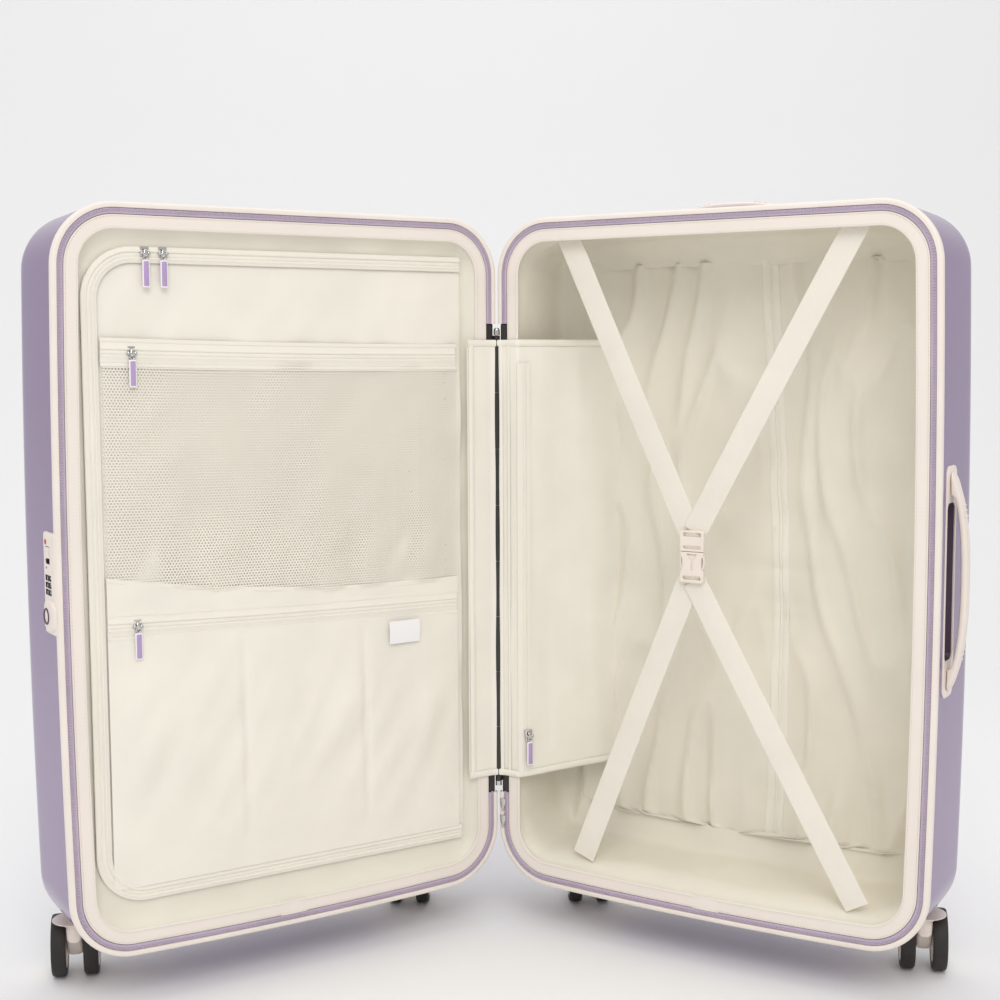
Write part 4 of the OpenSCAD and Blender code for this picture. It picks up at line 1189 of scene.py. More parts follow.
def build_pockets():
    """Net pocket and lower pocket with their bands, zips, pleats and sewn label."""
    low, high = pocket_edges()
    surround = Piece()
    line = [high - (high - low) * i / 60 for i in range(61)]
    for place in (MESH_ZIP, LOW_ZIP):
        zip_band(surround, [(u, place(u)) for u in line], "front", NET_DEPTH + 0.4 * MM, 19 * MM, 0, 1)
        for by in (11, -11):
            seam_cord(surround, shifted(place, by * MM), low, high, NET_DEPTH + 0.2 * MM, 4 * MM)
    seam_cord(surround, shifted(NET_LOW, -1 * MM), low, high, NET_DEPTH + 0.2 * MM, 4.5 * MM)
    surround.finish("mesh_pocket_zip", [finish_of("piping_cloth"), finish_of("cream_coil")], "divider",
                    slot="lining")

    def band_wave(u, z, _):
        return MM * (0.5 + 0.8 * noise.noise(Vector((u / (40 * MM), z / (22 * MM), 3.0))))

    top_band = cloth_patch("net_foot_band", low, high, NET_LOW, shifted(LOW_ZIP, 9 * MM), NET_DEPTH,
                           rows=14, wave=band_wave)
    band_height = drop(NET_LOW, shifted(LOW_ZIP, 9 * MM), low, high)

    pleats = (285 * MM, 156 * MM)

    def pocket_wave(u, z, t):
        swell = 3.4 * math.sin(math.pi * min(1.0, t * 1.1)) ** 0.8
        dip = sum(math.exp(-((u - p + 4 * MM * t) / (3.5 * MM)) ** 2) for p in pleats)
        drape = noise.noise(Vector(((u * 0.85 + z * 0.5) / (24 * MM),
                                    (z * 0.85 - u * 0.5) / (110 * MM), 9.0)))
        edge = min(1.0, 10 * min(u - low, high - u) / (high - low))
        stands = 0.4 + swell * (1 - 0.9 * min(1, dip)) + 3.2 * drape * math.sin(math.pi * t)
        return MM * edge * max(0.15, stands)

    lower = cloth_patch("lower_pocket_cloth", low, high, shifted(LOW_ZIP, -9 * MM), POCKET_FOOT,
                        NET_DEPTH, rows=70, columns=110, wave=pocket_wave)
    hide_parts("zip_pocket")
    pocket_height = drop(shifted(LOW_ZIP, -9 * MM), POCKET_FOOT, low, high)

    label = Piece()
    centre = spot("front", 111 * MM, NET_DEPTH - 5.2 * MM, 326 * MM)
    width_way, depth_way, up = axes("front")
    rows = []
    for i in range(9):
        t = i / 8
        rows.append([centre + width_way * (a * 17.5 * MM) + up * ((0.5 - t) * 23 * MM)
                     - depth_way * (0.8 * math.sin(math.pi * t) + 0.5 * t * a) * MM for a in
                     (-1 + 2 * k / 10 for k in range(11))])
    label.grid(rows, uv=[[(k * 3.5 * MM, i * 3 * MM) for k in range(11)] for i in range(9)])
    tag = label.finish("sewn_label", [finish_of("label_satin")], "divider", smooth=180, slot="lining")


# ---------- Flap over the hinge ----------

FLAP_TURN = math.atan2(-joint("flap_puller_swing")["axis"][1], -joint("flap_puller_swing")["axis"][0])
FLAP_BEND = Vector((25 * MM, 1.3 * MM, 0))
FLAP_LENGTH = (FLAP_HIGH.x - FLAP_BEND.x) / math.cos(FLAP_TURN)
FLAP_FRONT = 32 * MM


def flap_point(x, z, lift=0.0):
    """Point of the flap at a distance x from the hinge line: below zero lies on the front half."""
    if x < 0:
        place = spot("front", -x, PARTING + 0.4 * MM, z)
        normal = -axes("front")[1]
        ease = ramp(1 + x / (9 * MM))
        normal = normal.lerp(Vector((0, -1, 0)), ease * 0.5).normalized()
        place += Vector((math.sin(REST_TURN / 2), -math.cos(REST_TURN / 2), 0)) * 2.2 * MM * ease
        return place + normal * lift
    if x < FLAP_BEND.x:
        ease = 1 - ramp(x / (9 * MM))
        place = Vector((x, PARTING + 0.4 * MM, z))
        place += Vector((math.sin(REST_TURN / 2), -math.cos(REST_TURN / 2), 0)) * 2.2 * MM * ease
        return place + Vector((0, -1, 0)) * lift
    run = x - FLAP_BEND.x
    along = Vector((math.cos(FLAP_TURN), math.sin(FLAP_TURN), 0))
    normal = Vector((math.sin(FLAP_TURN), -math.cos(FLAP_TURN), 0))
    share = run / FLAP_LENGTH
    slack = noise.noise(Vector((run / (38 * MM), z / (170 * MM), 5.5))) * 3.5 * MM * ramp(share * 3)
    return FLAP_BEND + along * run + normal * (slack + lift) + Vector((0, 0, z))


def build_flap():
    """One cloth from the front half over the hinge, slanting into the back half."""
    z0, z1 = FLAP_LOW.z, FLAP_HIGH.z
    columns, rows = 96, 110
    total = FLAP_FRONT + FLAP_BEND.x + FLAP_LENGTH
    start = -FLAP_FRONT - 4 * MM
    piece = Piece()
    grid, uvs = [], []
    for i in range(rows + 1):
        t = i / rows
        row, uv = [], []
        for j in range(columns + 1):
            x = start + (total + 4 * MM) * j / columns
            foot = 5 * MM * ramp((x - FLAP_BEND.x) / FLAP_LENGTH) * (1 - t)
            hem = (1 if t > 0.5 else -1) * abs(2 * t - 1)
            z = z0 + (z1 - z0) * t + foot + 0.8 * MM * math.sin(x / (19 * MM)) * hem
            ripple = noise.noise(Vector((x / (22 * MM), z / (75 * MM), 7.7)))
            row.append(flap_point(x, z, (0.5 + 0.9 * ripple) * MM))
            uv.append((x, z))
        grid.append(row)
        uvs.append(uv)
    piece.grid(grid, uv=uvs)
    flap = piece.finish("hinge_flap", [finish_of("divider_cloth")], smooth=180, slot="lining",
                        replaces=["front_flap", "back_flap"])
    hems = Piece()
    for z in (z1 - 3 * MM, z0 + 3 * MM):
        strip, uv = [], []
        for j in range(columns + 1):
            x = start + (total + 4 * MM) * j / columns
            rise = 5 * MM * ramp((x - FLAP_BEND.x) / FLAP_LENGTH) if z < (z0 + z1) / 2 else 0
            strip.append([flap_point(x, z + rise + a * MM, (1.5 + b) * MM) for a, b in
                          ((-3.4, -0.4), (-2.8, 0.25), (0, 0.35), (2.8, 0.25), (3.4, -0.4))])
            uv.append([(x, k * 1.5 * MM) for k in range(5)])
        hems.grid(strip, uv=uv)
    for x, width, high in ((5 * MM, 2.0, 0.5), (-FLAP_FRONT + 1 * MM, 3.0, 0.5), (14 * MM, 1.6, 0.4)):
        strip = [[flap_point(x + a * width * MM, z0 + (z1 - z0) * i / 90, (1.3 + b * high) * MM)
                  for a, b in ((-1, -0.6), (-0.7, 0.8), (0, 1), (0.7, 0.8), (1, -0.6))] for i in range(91)]
        hems.grid(strip, uv=[[(k * MM, i * 5 * MM) for k in range(5)] for i in range(91)])
    trim = hems.finish("flap_hems", [finish_of("piping_cloth")], smooth=60, slot="lining")
    zipper = Piece()
    band, coil, uvs = [], [], []
    centre = FLAP_BEND.x + 6.5 * MM
    top = z1 - 22 * MM
    count = int((top - z0 - 6 * MM) / (1.6 * MM))
    for i in range(count + 1):
        z = z0 + 6 * MM + i * 1.6 * MM
        band.append([flap_point(centre + a * MM, z, b * MM) for a, b in
                     ((-7, 1.0), (-6.6, 1.9), (-2.6, 2.1), (-2.1, 1.2),
                      (2.1, 1.2), (2.6, 2.1), (6.6, 1.9), (7, 1.0))])
        high = 2.0 if i % 2 else 1.6
        coil.append([flap_point(centre + a * MM, z, b * MM) for a, b in
                     ((-2.1, 1.0), (-1.3, high), (0, high + 0.15), (1.3, high), (2.1, 1.0))])
        uvs.append([(k * 2 * MM, z) for k in range(8)])
    zipper.grid(band, uv=uvs)
    zipper.grid(coil, 1)
    zipper.finish("flap_zip", [finish_of("piping_cloth"), finish_of("cream_coil")], "back_half",
                  slot="lining")
    for obj in (flap, trim):
        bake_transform(obj)


# ---------- Straps and buckle ----------

def ribbon(name, start, end, width, thick, body, sag=0.0, twist=0.0):
    """Flat strap between two points, with soft edges and a slight sag towards the mouth."""
    piece = Piece()
    along = (end - start).normalized()
    face = Vector((0, -1, 0))
    side = along.cross(face).normalized()
    rows, uvs = [], []
    length = (end - start).length
    count = 70
    edge = width / 2
    section = [(-edge, 0), (-edge + 0.4 * MM, 0.5), (-edge * 0.9, 0.62), (0, 0.5),
               (edge * 0.9, 0.62), (edge - 0.4 * MM, 0.5), (edge, 0), (edge - 0.4 * MM, -0.5),
               (0, -0.5), (-edge + 0.4 * MM, -0.5)]
    for i in range(count + 1):
        t = i / count
        centre = start.lerp(end, t) + face * (sag * math.sin(math.pi * t) * MM)
        turn = math.radians(twist) * math.sin(math.pi * t)
        wide = side * math.cos(turn) + face * math.sin(turn)
        out = face * math.cos(turn) - side * math.sin(turn)
        rows.append([centre + wide * a + out * (b * thick) for a, b in section])
        uvs.append([(a, t * length) for a, _ in section])
    piece.grid(rows, closed=True, uv=uvs)
    strap = piece.finish(name, [finish_of("webbing")], body, smooth=60, slot="webbing")
    return strap


def strap_anchor(node, upper):
    """Place of a strap solid's anchored end, in its upper or lower half."""
    points = [v.co for v in frame["nodes"][node].data.vertices]
    middle = (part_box(node)[0].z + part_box(node)[1].z) / 2
    points = [p for p in points if (p.z > middle) == upper]
    limit = max(p.z for p in points) if upper else min(p.z for p in points)
    anchor = [p.x for p in points if abs(p.z - limit) < 1 * MM]
    return Vector(((min(anchor) + max(anchor)) / 2, points[0].y, limit))


def build_straps():
    """Four packing straps that meet at the buckle, crossing just above and below it."""
    socket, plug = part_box("buckle_socket"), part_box("buckle_plug")
    centre_x = (socket[0].x + plug[1].x) / 2
    centre_z = (socket[0].z + socket[1].z) / 2
    half_high = (socket[1].z - socket[0].z) / 2
    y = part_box("hinge_side_straps")[0].y + 0.8 * MM
    width = 25 * MM
    for node, sign in (("hinge_side_straps", -1), ("outer_side_straps", 1)):
        on_plug = sign > 0
        for upper in (True, False):
            anchor = strap_anchor(node, upper)
            reach = 1 if upper else -1
            end = Vector((centre_x + sign * 3 * MM, y, centre_z + reach * (half_high + 3 * MM)))
            start = Vector((anchor.x, y, anchor.z - reach * 1 * MM))
            lift = Vector((0, -0.9 * MM if on_plug else 0.9 * MM, 0))
            name = f"{'outer' if on_plug else 'hinge'}_strap_{'top' if upper else 'base'}"
            strap = ribbon(name, start + lift, end + lift, width, 1.5 * MM,
                           None if on_plug else "back_half", sag=1.5, twist=4 * sign * reach)
            if on_plug:
                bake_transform(strap)
            if upper:
                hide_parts(node)


def curve_mesh(curve, place, material):
    """The filled shape of a curve or a figure as a mesh, moved by place."""
    holder = bpy.data.objects.new(curve.name + "_line", curve)
    bpy.context.scene.collection.objects.link(holder)
    mesh = evaluated_mesh(holder)
    bpy.data.objects.remove(holder)
    mesh.transform(place)
    mesh.materials.clear()
    mesh.materials.append(finish_of(material))
    return mesh


def plate(name, loops, thick, place, bevel=0.4 * MM, material="cream_abs", steps=3):
    """Flat moulding from closed (x, y) loops: the first is its outline and the others are holes."""
    curve = bpy.data.curves.new(name, "CURVE")
    curve.dimensions = "2D"
    curve.fill_mode = "BOTH"
    curve.extrude = max(thick / 2 - bevel, 0.01 * MM)
    curve.bevel_depth = bevel
    curve.bevel_resolution = steps
    curve.offset = -bevel
    for loop in loops:
        line = curve.splines.new("POLY")
        line.points.add(len(loop) - 1)
        for point, (x, y) in zip(line.points, loop):
            point.co = (x, y, 0, 1)
        line.use_cyclic_u = True
    mesh = curve_mesh(curve, place, material)
    obj = bpy.data.objects.new(name, mesh)
    bpy.context.scene.collection.objects.link(obj)
    shape = bmesh.new()
    shape.from_mesh(mesh)
    bmesh.ops.remove_doubles(shape, verts=shape.verts, dist=0.002 * MM)
    bmesh.ops.recalc_face_normals(shape, faces=shape.faces)
    shape.to_mesh(mesh)
    shape.free()
    shade(obj, 40)
    return obj


def rounded_loop(x0, y0, x1, y1, radius, steps=6):
    """Closed loop of a rectangle with round corners."""
    corners = ((x1 - radius, y1 - radius, 0), (x0 + radius, y1 - radius, 90),
               (x0 + radius, y0 + radius, 180), (x1 - radius, y0 + radius, 270))
    return [(cx + radius * math.cos(math.radians(a + 90 * i / steps)),
             cy + radius * math.sin(math.radians(a + 90 * i / steps)))
            for cx, cy, a in corners for i in range(steps + 1)]


def standing(place, ways):
    """Matrix for a flat piece: its X and Y lie along two directions, at a place."""
    across, up = ways
    normal = across.cross(up)
    m = Matrix((across, up, normal)).transposed().to_4x4()
    m.translation = place
    return m


def build_buckle():
    """Side-release buckle standing upright: socket below with a Y-shaped slot, plug above."""
    socket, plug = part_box("buckle_socket"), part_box("buckle_plug")
    x0, x1 = socket[0].x + 6 * MM, plug[1].x - 1 * MM
    middle = (x0 + x1) / 2
    z0, z1 = socket[0].z - 3 * MM, socket[1].z + 5 * MM
    y = (socket[0].y + socket[1].y) / 2
    way = (Vector((1, 0, 0)), Vector((0, 0, 1)))
    half = 12.5 * MM

    body_loop = [(-half, z0), (-half + 2 * MM, z0 - 1.5 * MM), (half - 2 * MM, z0 - 1.5 * MM),
                 (half, z0), (half, z0 + 9 * MM), (half - 2.5 * MM, z0 + 13 * MM),
                 (half - 2.5 * MM, z0 + 22 * MM), (half, z0 + 27 * MM),
                 (half - 0.5 * MM, z0 + 29 * MM), (-half + 0.5 * MM, z0 + 29 * MM),
                 (-half, z0 + 27 * MM), (-half + 2.5 * MM, z0 + 22 * MM),
                 (-half + 2.5 * MM, z0 + 13 * MM), (-half, z0 + 9 * MM)]
    slot_loop = rounded_loop(-half + 3 * MM, z0 + 1.6 * MM, half - 3 * MM, z0 + 5.2 * MM, 1.2 * MM)
    groove = [(-1 * MM, z0 + 11 * MM), (1 * MM, z0 + 11 * MM), (1 * MM, z0 + 20 * MM),
              (5.5 * MM, z0 + 27 * MM), (-5.5 * MM, z0 + 27 * MM), (-1 * MM, z0 + 20 * MM)]
    place = standing(Vector((middle, y, 0)), way)
    shell = plate("buckle_socket_body", [body_loop, slot_loop, groove], 6.4 * MM, place, 0.9 * MM)
    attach(shell, "back_half")
    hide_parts("buckle_socket")
    core_loop = rounded_loop(-half + 4 * MM, z0 + 8 * MM, half - 4 * MM, z0 + 26 * MM, 2 * MM)
    core = plate("buckle_socket_core", [core_loop], 3.0 * MM, place, 0.4 * MM)
    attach(core, "back_half")
    bar_low = z0 + 29.5 * MM
    yoke_loop = [(-half, bar_low), (half, bar_low), (half + 0.4 * MM, z1 - 1.5 * MM),
                 (half - 1.5 * MM, z1), (-half + 1.5 * MM, z1), (-half - 0.4 * MM, z1 - 1.5 * MM)]
    yoke_slot = rounded_loop(-half + 3 * MM, z1 - 5.8 * MM, half - 3 * MM, z1 - 2.2 * MM, 1.2 * MM)
    lower_slot = rounded_loop(-half + 3 * MM, bar_low + 2.4 * MM, half - 3 * MM, bar_low + 5.4 * MM,
                              1.2 * MM)
    yoke = plate("buckle_plug_body", [yoke_loop, yoke_slot, lower_slot], 6.0 * MM, place, 0.9 * MM)
    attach(yoke, "buckle_plug")
    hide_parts("buckle_plug")
    wings = Piece()
    for s in (-1, 1):
        rows = []
        for i in range(15):
            t = i / 14
            z = z0 + 11 * MM + 18 * MM * t
            out = half - 2.2 * MM + 2.6 * MM * math.sin(math.pi * t) * (1 - 0.3 * t)
            centre = Vector((middle + s * out, y, z))
            rows.append([centre + Vector((1.1 * MM * math.cos(a) * s, 2.1 * MM * math.sin(a), 0))
                         for a in turns(12)])
        wings.tube(rows)
    wings.finish("buckle_prongs", [finish_of("cream_abs")], "buckle_plug", smooth=50,
                 slot="cream_plastic")


# ---------- Zip sliders and pullers ----------

def slider_place(name):
    """Matrix of a slider: X across its panel, Y into it, Z up, at the puller pin's foot."""
    swing = joint(f"{name}_puller_swing")
    across = Vector(swing["axis"]).normalized()
    normal = Vector((-across.y, across.x, 0))
    m = Matrix((across, -normal, Vector((0, 0, 1)))).transposed().to_4x4()
    m.translation = Vector(swing["pos_m"]) - normal * 6 * MM
    return m


def slider_body(piece, place):
    """Polished body with a domed top, a bridge for the link, and flared wings."""
    rows = []
    for i in range(13):
        t = i / 12
        z = (6.2 - 12.4 * t) * MM
        wide = (4.6 - 1.3 * ramp(t) - 0.5 * (1 - ramp(t * 5))) * MM
        deep = 1.7 * MM
        rows.append([place @ Vector((wide * c, -2.0 * MM + deep * s, z)) for c, s in squared(24, 0.6)])
    piece.tube(rows)
    rows = []
    for i in range(15):
        a = math.pi * i / 14
        centre = Vector((0, -3.4 * MM - 3.2 * MM * math.sin(a), 4.4 * MM * math.cos(a)))
        along = Vector((0, math.cos(a), math.sin(a)))
        rows.append([place @ (centre + Vector((1.5 * MM, 0, 0)) * math.cos(b)
                              + along * 1.0 * MM * math.sin(b))
                     for b in turns(12)])
    piece.tube(rows)
    stud = [(r * MM, h * MM) for r, h in
            ((0.01, -1.6), (1.3, -1.4), (1.9, -0.6), (1.9, 0.6), (1.3, 1.4), (0.01, 1.6))]
    for x in (-3.3, 3.3):
        across = Matrix.Translation((x * MM, -4.6 * MM, 0)) @ Matrix.Rotation(math.pi / 2, 4, "Y")
        piece.turned(stud, place @ across, steps=20)


def puller_tab(piece, place):
    """Link ring and an enamelled tab: pale border, lilac middle, and a column of small bars."""
    rows = []
    for i in range(25):
        a = 2 * math.pi * i / 24
        centre = Vector((2.1 * MM * math.sin(a), -6 * MM, -2.4 * MM + 3.4 * MM * math.cos(a)))
        radial = Vector((math.sin(a), 0, math.cos(a)))
        rows.append([place @ (centre + radial * 0.75 * MM * math.cos(b)
                              + Vector((0, 0.75 * MM * math.sin(b), 0)))
                     for b in turns(10)])
    piece.grid(rows, 0, closed=True)
    piece.block(Vector((7.0, 2.0, 25.0)) * MM, place @ Matrix.Translation(Vector((0, -6, -18.4)) * MM),
                0.9 * MM, 1, 3)
    piece.block(Vector((5.2, 2.5, 22.6)) * MM, place @ Matrix.Translation(Vector((0, -6, -18.4)) * MM),
                0.6 * MM, 2, 2)
    for k in range(9):
        piece.block(Vector((2.6 if k % 2 else 2.0, 2.9, 0.9)) * MM,
                    place @ Matrix.Translation(Vector((0, -6, -10.4 - 2.0 * k)) * MM), 0.25 * MM, 3, 1)


def build_zip_slider(name, body, offset=None, label=None):
    """Slider and puller on their own bodies, or both on one body at an offset."""
    place = slider_place(name)
    if offset:
        place = Matrix.Translation(offset) @ place
    label = label or name
    metal = Piece()
    slider_body(metal, place)
    slider = metal.finish(f"{label}_slider_body", [finish_of("chrome")], body or f"{name}_slider",
                          smooth=50, slot="steel")
    tab = Piece()
    puller_tab(tab, place)
    puller = tab.finish(f"{label}_puller_tab", [finish_of("chrome"), finish_of("white_enamel"),
                                                finish_of("puller_enamel"), finish_of("zip_coil")],
                        body or f"{name}_puller", smooth=50, slot="lilac_plastic")
    if body is None:
        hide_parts(f"{name}_slider")
        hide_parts(f"{name}_puller")


def build_zip_sliders():
    """Sliders and pullers of the four inner zips, and the divider's parked second slider."""
    for name in ("divider", "mesh", "pocket", "flap"):
        build_zip_slider(name, None)
    build_zip_slider("divider", "divider", axes("front")[0] * 17 * MM, "parked")
    piece = Piece()
    low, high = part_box("main_zip_sliders")
    centre = (low + high) / 2
    for k in (0, 1):
        z = high.z - (7 + 18 * k) * MM
        rows = []
        for i in range(15):
            t = i / 14
            wide = 3.4 * MM * min(1.0, 0.12 + 1.5 * t)
            rows.append([Vector((centre.x + wide * math.cos(a), 1.1 * MM * math.sin(a),
                                 z + (t - 0.5) * 14 * MM))
                         for a in turns(20)])
        piece.tube(rows)
        piece.block(Vector((2.4, 2.6, 5.0)) * MM, Matrix.Translation((centre.x, 0, z + 1 * MM)),
                    0.8 * MM)
    piece.finish("main_slider_bodies", [finish_of("chrome")], "back_half", smooth=50, slot="steel",
                 replaces=["main_zip_sliders"])


# ---------- Carry handles ----------

HANDLES = {
    "side_handle": {"along": 2, "out": 0, "rise": 17 * MM, "plate": 213 * MM, "tub": 145 * MM},
    "top_handle": {"along": 0, "out": 2, "rise": 13 * MM, "plate": 140 * MM, "tub": 74 * MM},
}


def build_handle(name):
    """Arched grip with rounded ends, and the plate and dark finger recess that it stands over."""
    facts = HANDLES[name]
    low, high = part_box(name)
    along, out = facts["along"], facts["out"]
    ways = [Vector((1, 0, 0)), Vector((0, 1, 0)), Vector((0, 0, 1))]
    way, up, wide = ways[along], ways[out], ways[1]
    span = (high[along] - low[along]) / 2
    centre = (low + high) / 2
    base = high[out] - facts["rise"]
    centre[out] = base
    thick, width = 6.5 * MM, high.y - low.y
    grip = Piece()
    rows = []
    for i in range(81):
        t = -1 + 2 * i / 80
        arch = 1 - abs(t) ** 2.6
        top = 1.2 * MM + (facts["rise"] - 1.2 * MM) * arch ** 0.85 if abs(t) < 1 else 1.2 * MM
        end = math.sqrt(max(1 - max((abs(t) - 0.93) / 0.07, 0) ** 2, 0.02))
        deep = max(top - thick * (1 - 0.25 * abs(t) ** 4), -0.6 * MM) if abs(t) < 0.8 else 0.1 * MM
        half_w = width / 2 * (0.86 + 0.14 * abs(t) ** 2) * end
        half_t = max((top - deep) / 2, 1.3 * MM) * (0.6 + 0.4 * end)
        middle = centre + way * (t * span) + up * ((top + deep) / 2)
        rows.append([middle + wide * (half_w * c) + up * (half_t * s) for c, s in squared(32, 0.62)])
    grip.tube(rows)
    for s in (-1, 1):
        for k in range(3):
            from_middle = span - (30 + 5 * k) * MM
            crest = facts["rise"] * (1 - (from_middle / span) ** 2.6) ** 0.85
            at = centre + way * (s * from_middle) + up * crest
            grip.block(Vector((1.6, 1.6, width / MM * 0.7)) * MM,
                       Matrix.Translation(at) @ Matrix.Rotation(math.pi / 2, 4, "X"), 0.5 * MM)
    grip.finish(f"{name}_grip", [finish_of("cream_abs")], name, smooth=50, slot="cream_plastic",
                replaces=[name])
    stand = Matrix((way, -wide, up)).transposed().to_4x4()
    stand.translation = centre
    half_l, half_w = facts["plate"] / 2, 16 * MM
    tub_l, tub_w = facts["tub"] / 2, 12.6 * MM
    outline_loop = rounded_loop(-half_l, -half_w, half_l, half_w, 9 * MM)
    hole = rounded_loop(-tub_l, -tub_w, tub_l, tub_w, 6 * MM)
    rim = plate(f"{name}_plate", [outline_loop, hole], 2.4 * MM,
                stand @ Matrix.Translation((0, 0, -1.2 * MM)), 0.8 * MM)
    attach(rim, "back_half")
    tub = Piece()
    rows = []
    for inset, depth in ((-0.3, -1.0), (0.0, -1.4), (0.6, -6.2), (1.6, -7.6), (3.2, -8.0), (6, -8.0)):
        loop = rounded_loop(-tub_l + inset * MM, -tub_w + inset * MM, tub_l - inset * MM,
                            tub_w - inset * MM, max(6 - inset, 1.5) * MM)
        rows.append([stand @ Vector((x, y, depth * MM)) for x, y in loop])
    base_at = tub.grid(rows, closed=True)
    tub.cap(base_at + (len(rows) - 1) * len(rows[0]), len(rows[0]))
    # The recess takes the dark recess finish: painted shade inside the hollow
    tub.finish(f"{name}_recess", [finish_of("recess_shade_abs")], "back_half", smooth=40, slot="cream_plastic")
    return rim


def build_handles():
    """Both carry handles with their plates."""
    for name in HANDLES:
        rim = build_handle(name)
        if name == "side_handle":
            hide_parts("handle_mounts")


# ---------- Trolley, hinge and side feet ----------

def build_trolley():
    """Anodised tubes in three stages, under a cream grip in its housing."""
    for node in ("trolley_outer_tubes", "trolley_middle_tubes", "trolley_inner_tubes"):
        softened(node, finish_of("aluminium"), 0.25 * MM, 2)
    softened("trolley_housing", finish_of("cream_abs"), 0.8 * MM)
    softened("trolley_grip", finish_of("cream_abs"), 2.4 * MM, 4)
    softened("trolley_button", finish_of("black_abs"), 0.5 * MM)


def build_hinge():
    """Black knuckles on both rails, and the steel pin with its domed cap."""
    softened("back_hinge_rail", finish_of("black_abs"), 0.4 * MM)
    softened("front_hinge_rail", finish_of("black_abs"), 0.4 * MM)
    softened("hinge_pin", finish_of("chrome"), 0.3 * MM)


def build_feet(half):
    """Low domed feet that the case rests on when it lies on its side."""
    low, high = local_box(half, f"{half}_side_feet")
    place = HALF[half]
    piece = Piece()
    radius = (high.y - low.y) / 2
    profile = [(0.01, -1), (radius / MM - 0.2, -1), (radius / MM, -0.6), (radius / MM, 0.9),
               (radius / MM - 0.9, 1.9), (radius / MM * 0.6, 2.5), (0.01, 2.7)]
    for z in (low.z + radius, high.z - radius):
        centre = Vector((high.x, (low.y + high.y) / 2, z))
        turn = place @ Matrix.Translation(centre) @ Matrix.Rotation(-math.pi / 2, 4, "Y")
        piece.turned([(r * MM, h * MM) for r, h in profile], turn, steps=40)
        for k in range(3):
            ring_r = radius * (0.3 + 0.2 * k)
            piece.turned([(ring_r, 2.2 * MM), (ring_r + 0.5 * MM, 2.9 * MM - k * 0.2 * MM),
                          (ring_r + 1 * MM, 2.2 * MM)], turn, steps=40, closed=True)
    piece.finish(f"{half}_feet_domes", [finish_of("cream_abs")], f"{half}_half", slot="cream_plastic",
                 replaces=[f"{half}_side_feet"])


# ---------- Lock ----------

LOCK_LOW, LOCK_HIGH = local_box("front", "lock_case")
DIAL_PLACES = [Vector(joint(f"dial_{i}_turn")["pos_m"]) for i in (1, 2, 3)]
DIAL_THICK = 4.5 * MM
LOCK_FACE = LOCK_HIGH.x - 2 * MM
LOCK_DEPTH = (LOCK_LOW.y + LOCK_HIGH.y) / 2


def lock_frame(depth, z, out=0.0):
    """Matrix on the lock's face: X runs towards the mouth, Y up, and Z out of the case."""
    width_way, depth_way, up = axes("front")
    m = Matrix((-depth_way, up, width_way)).transposed().to_4x4()
    m.translation = spot("front", LOCK_FACE + out, depth, z)
    return m


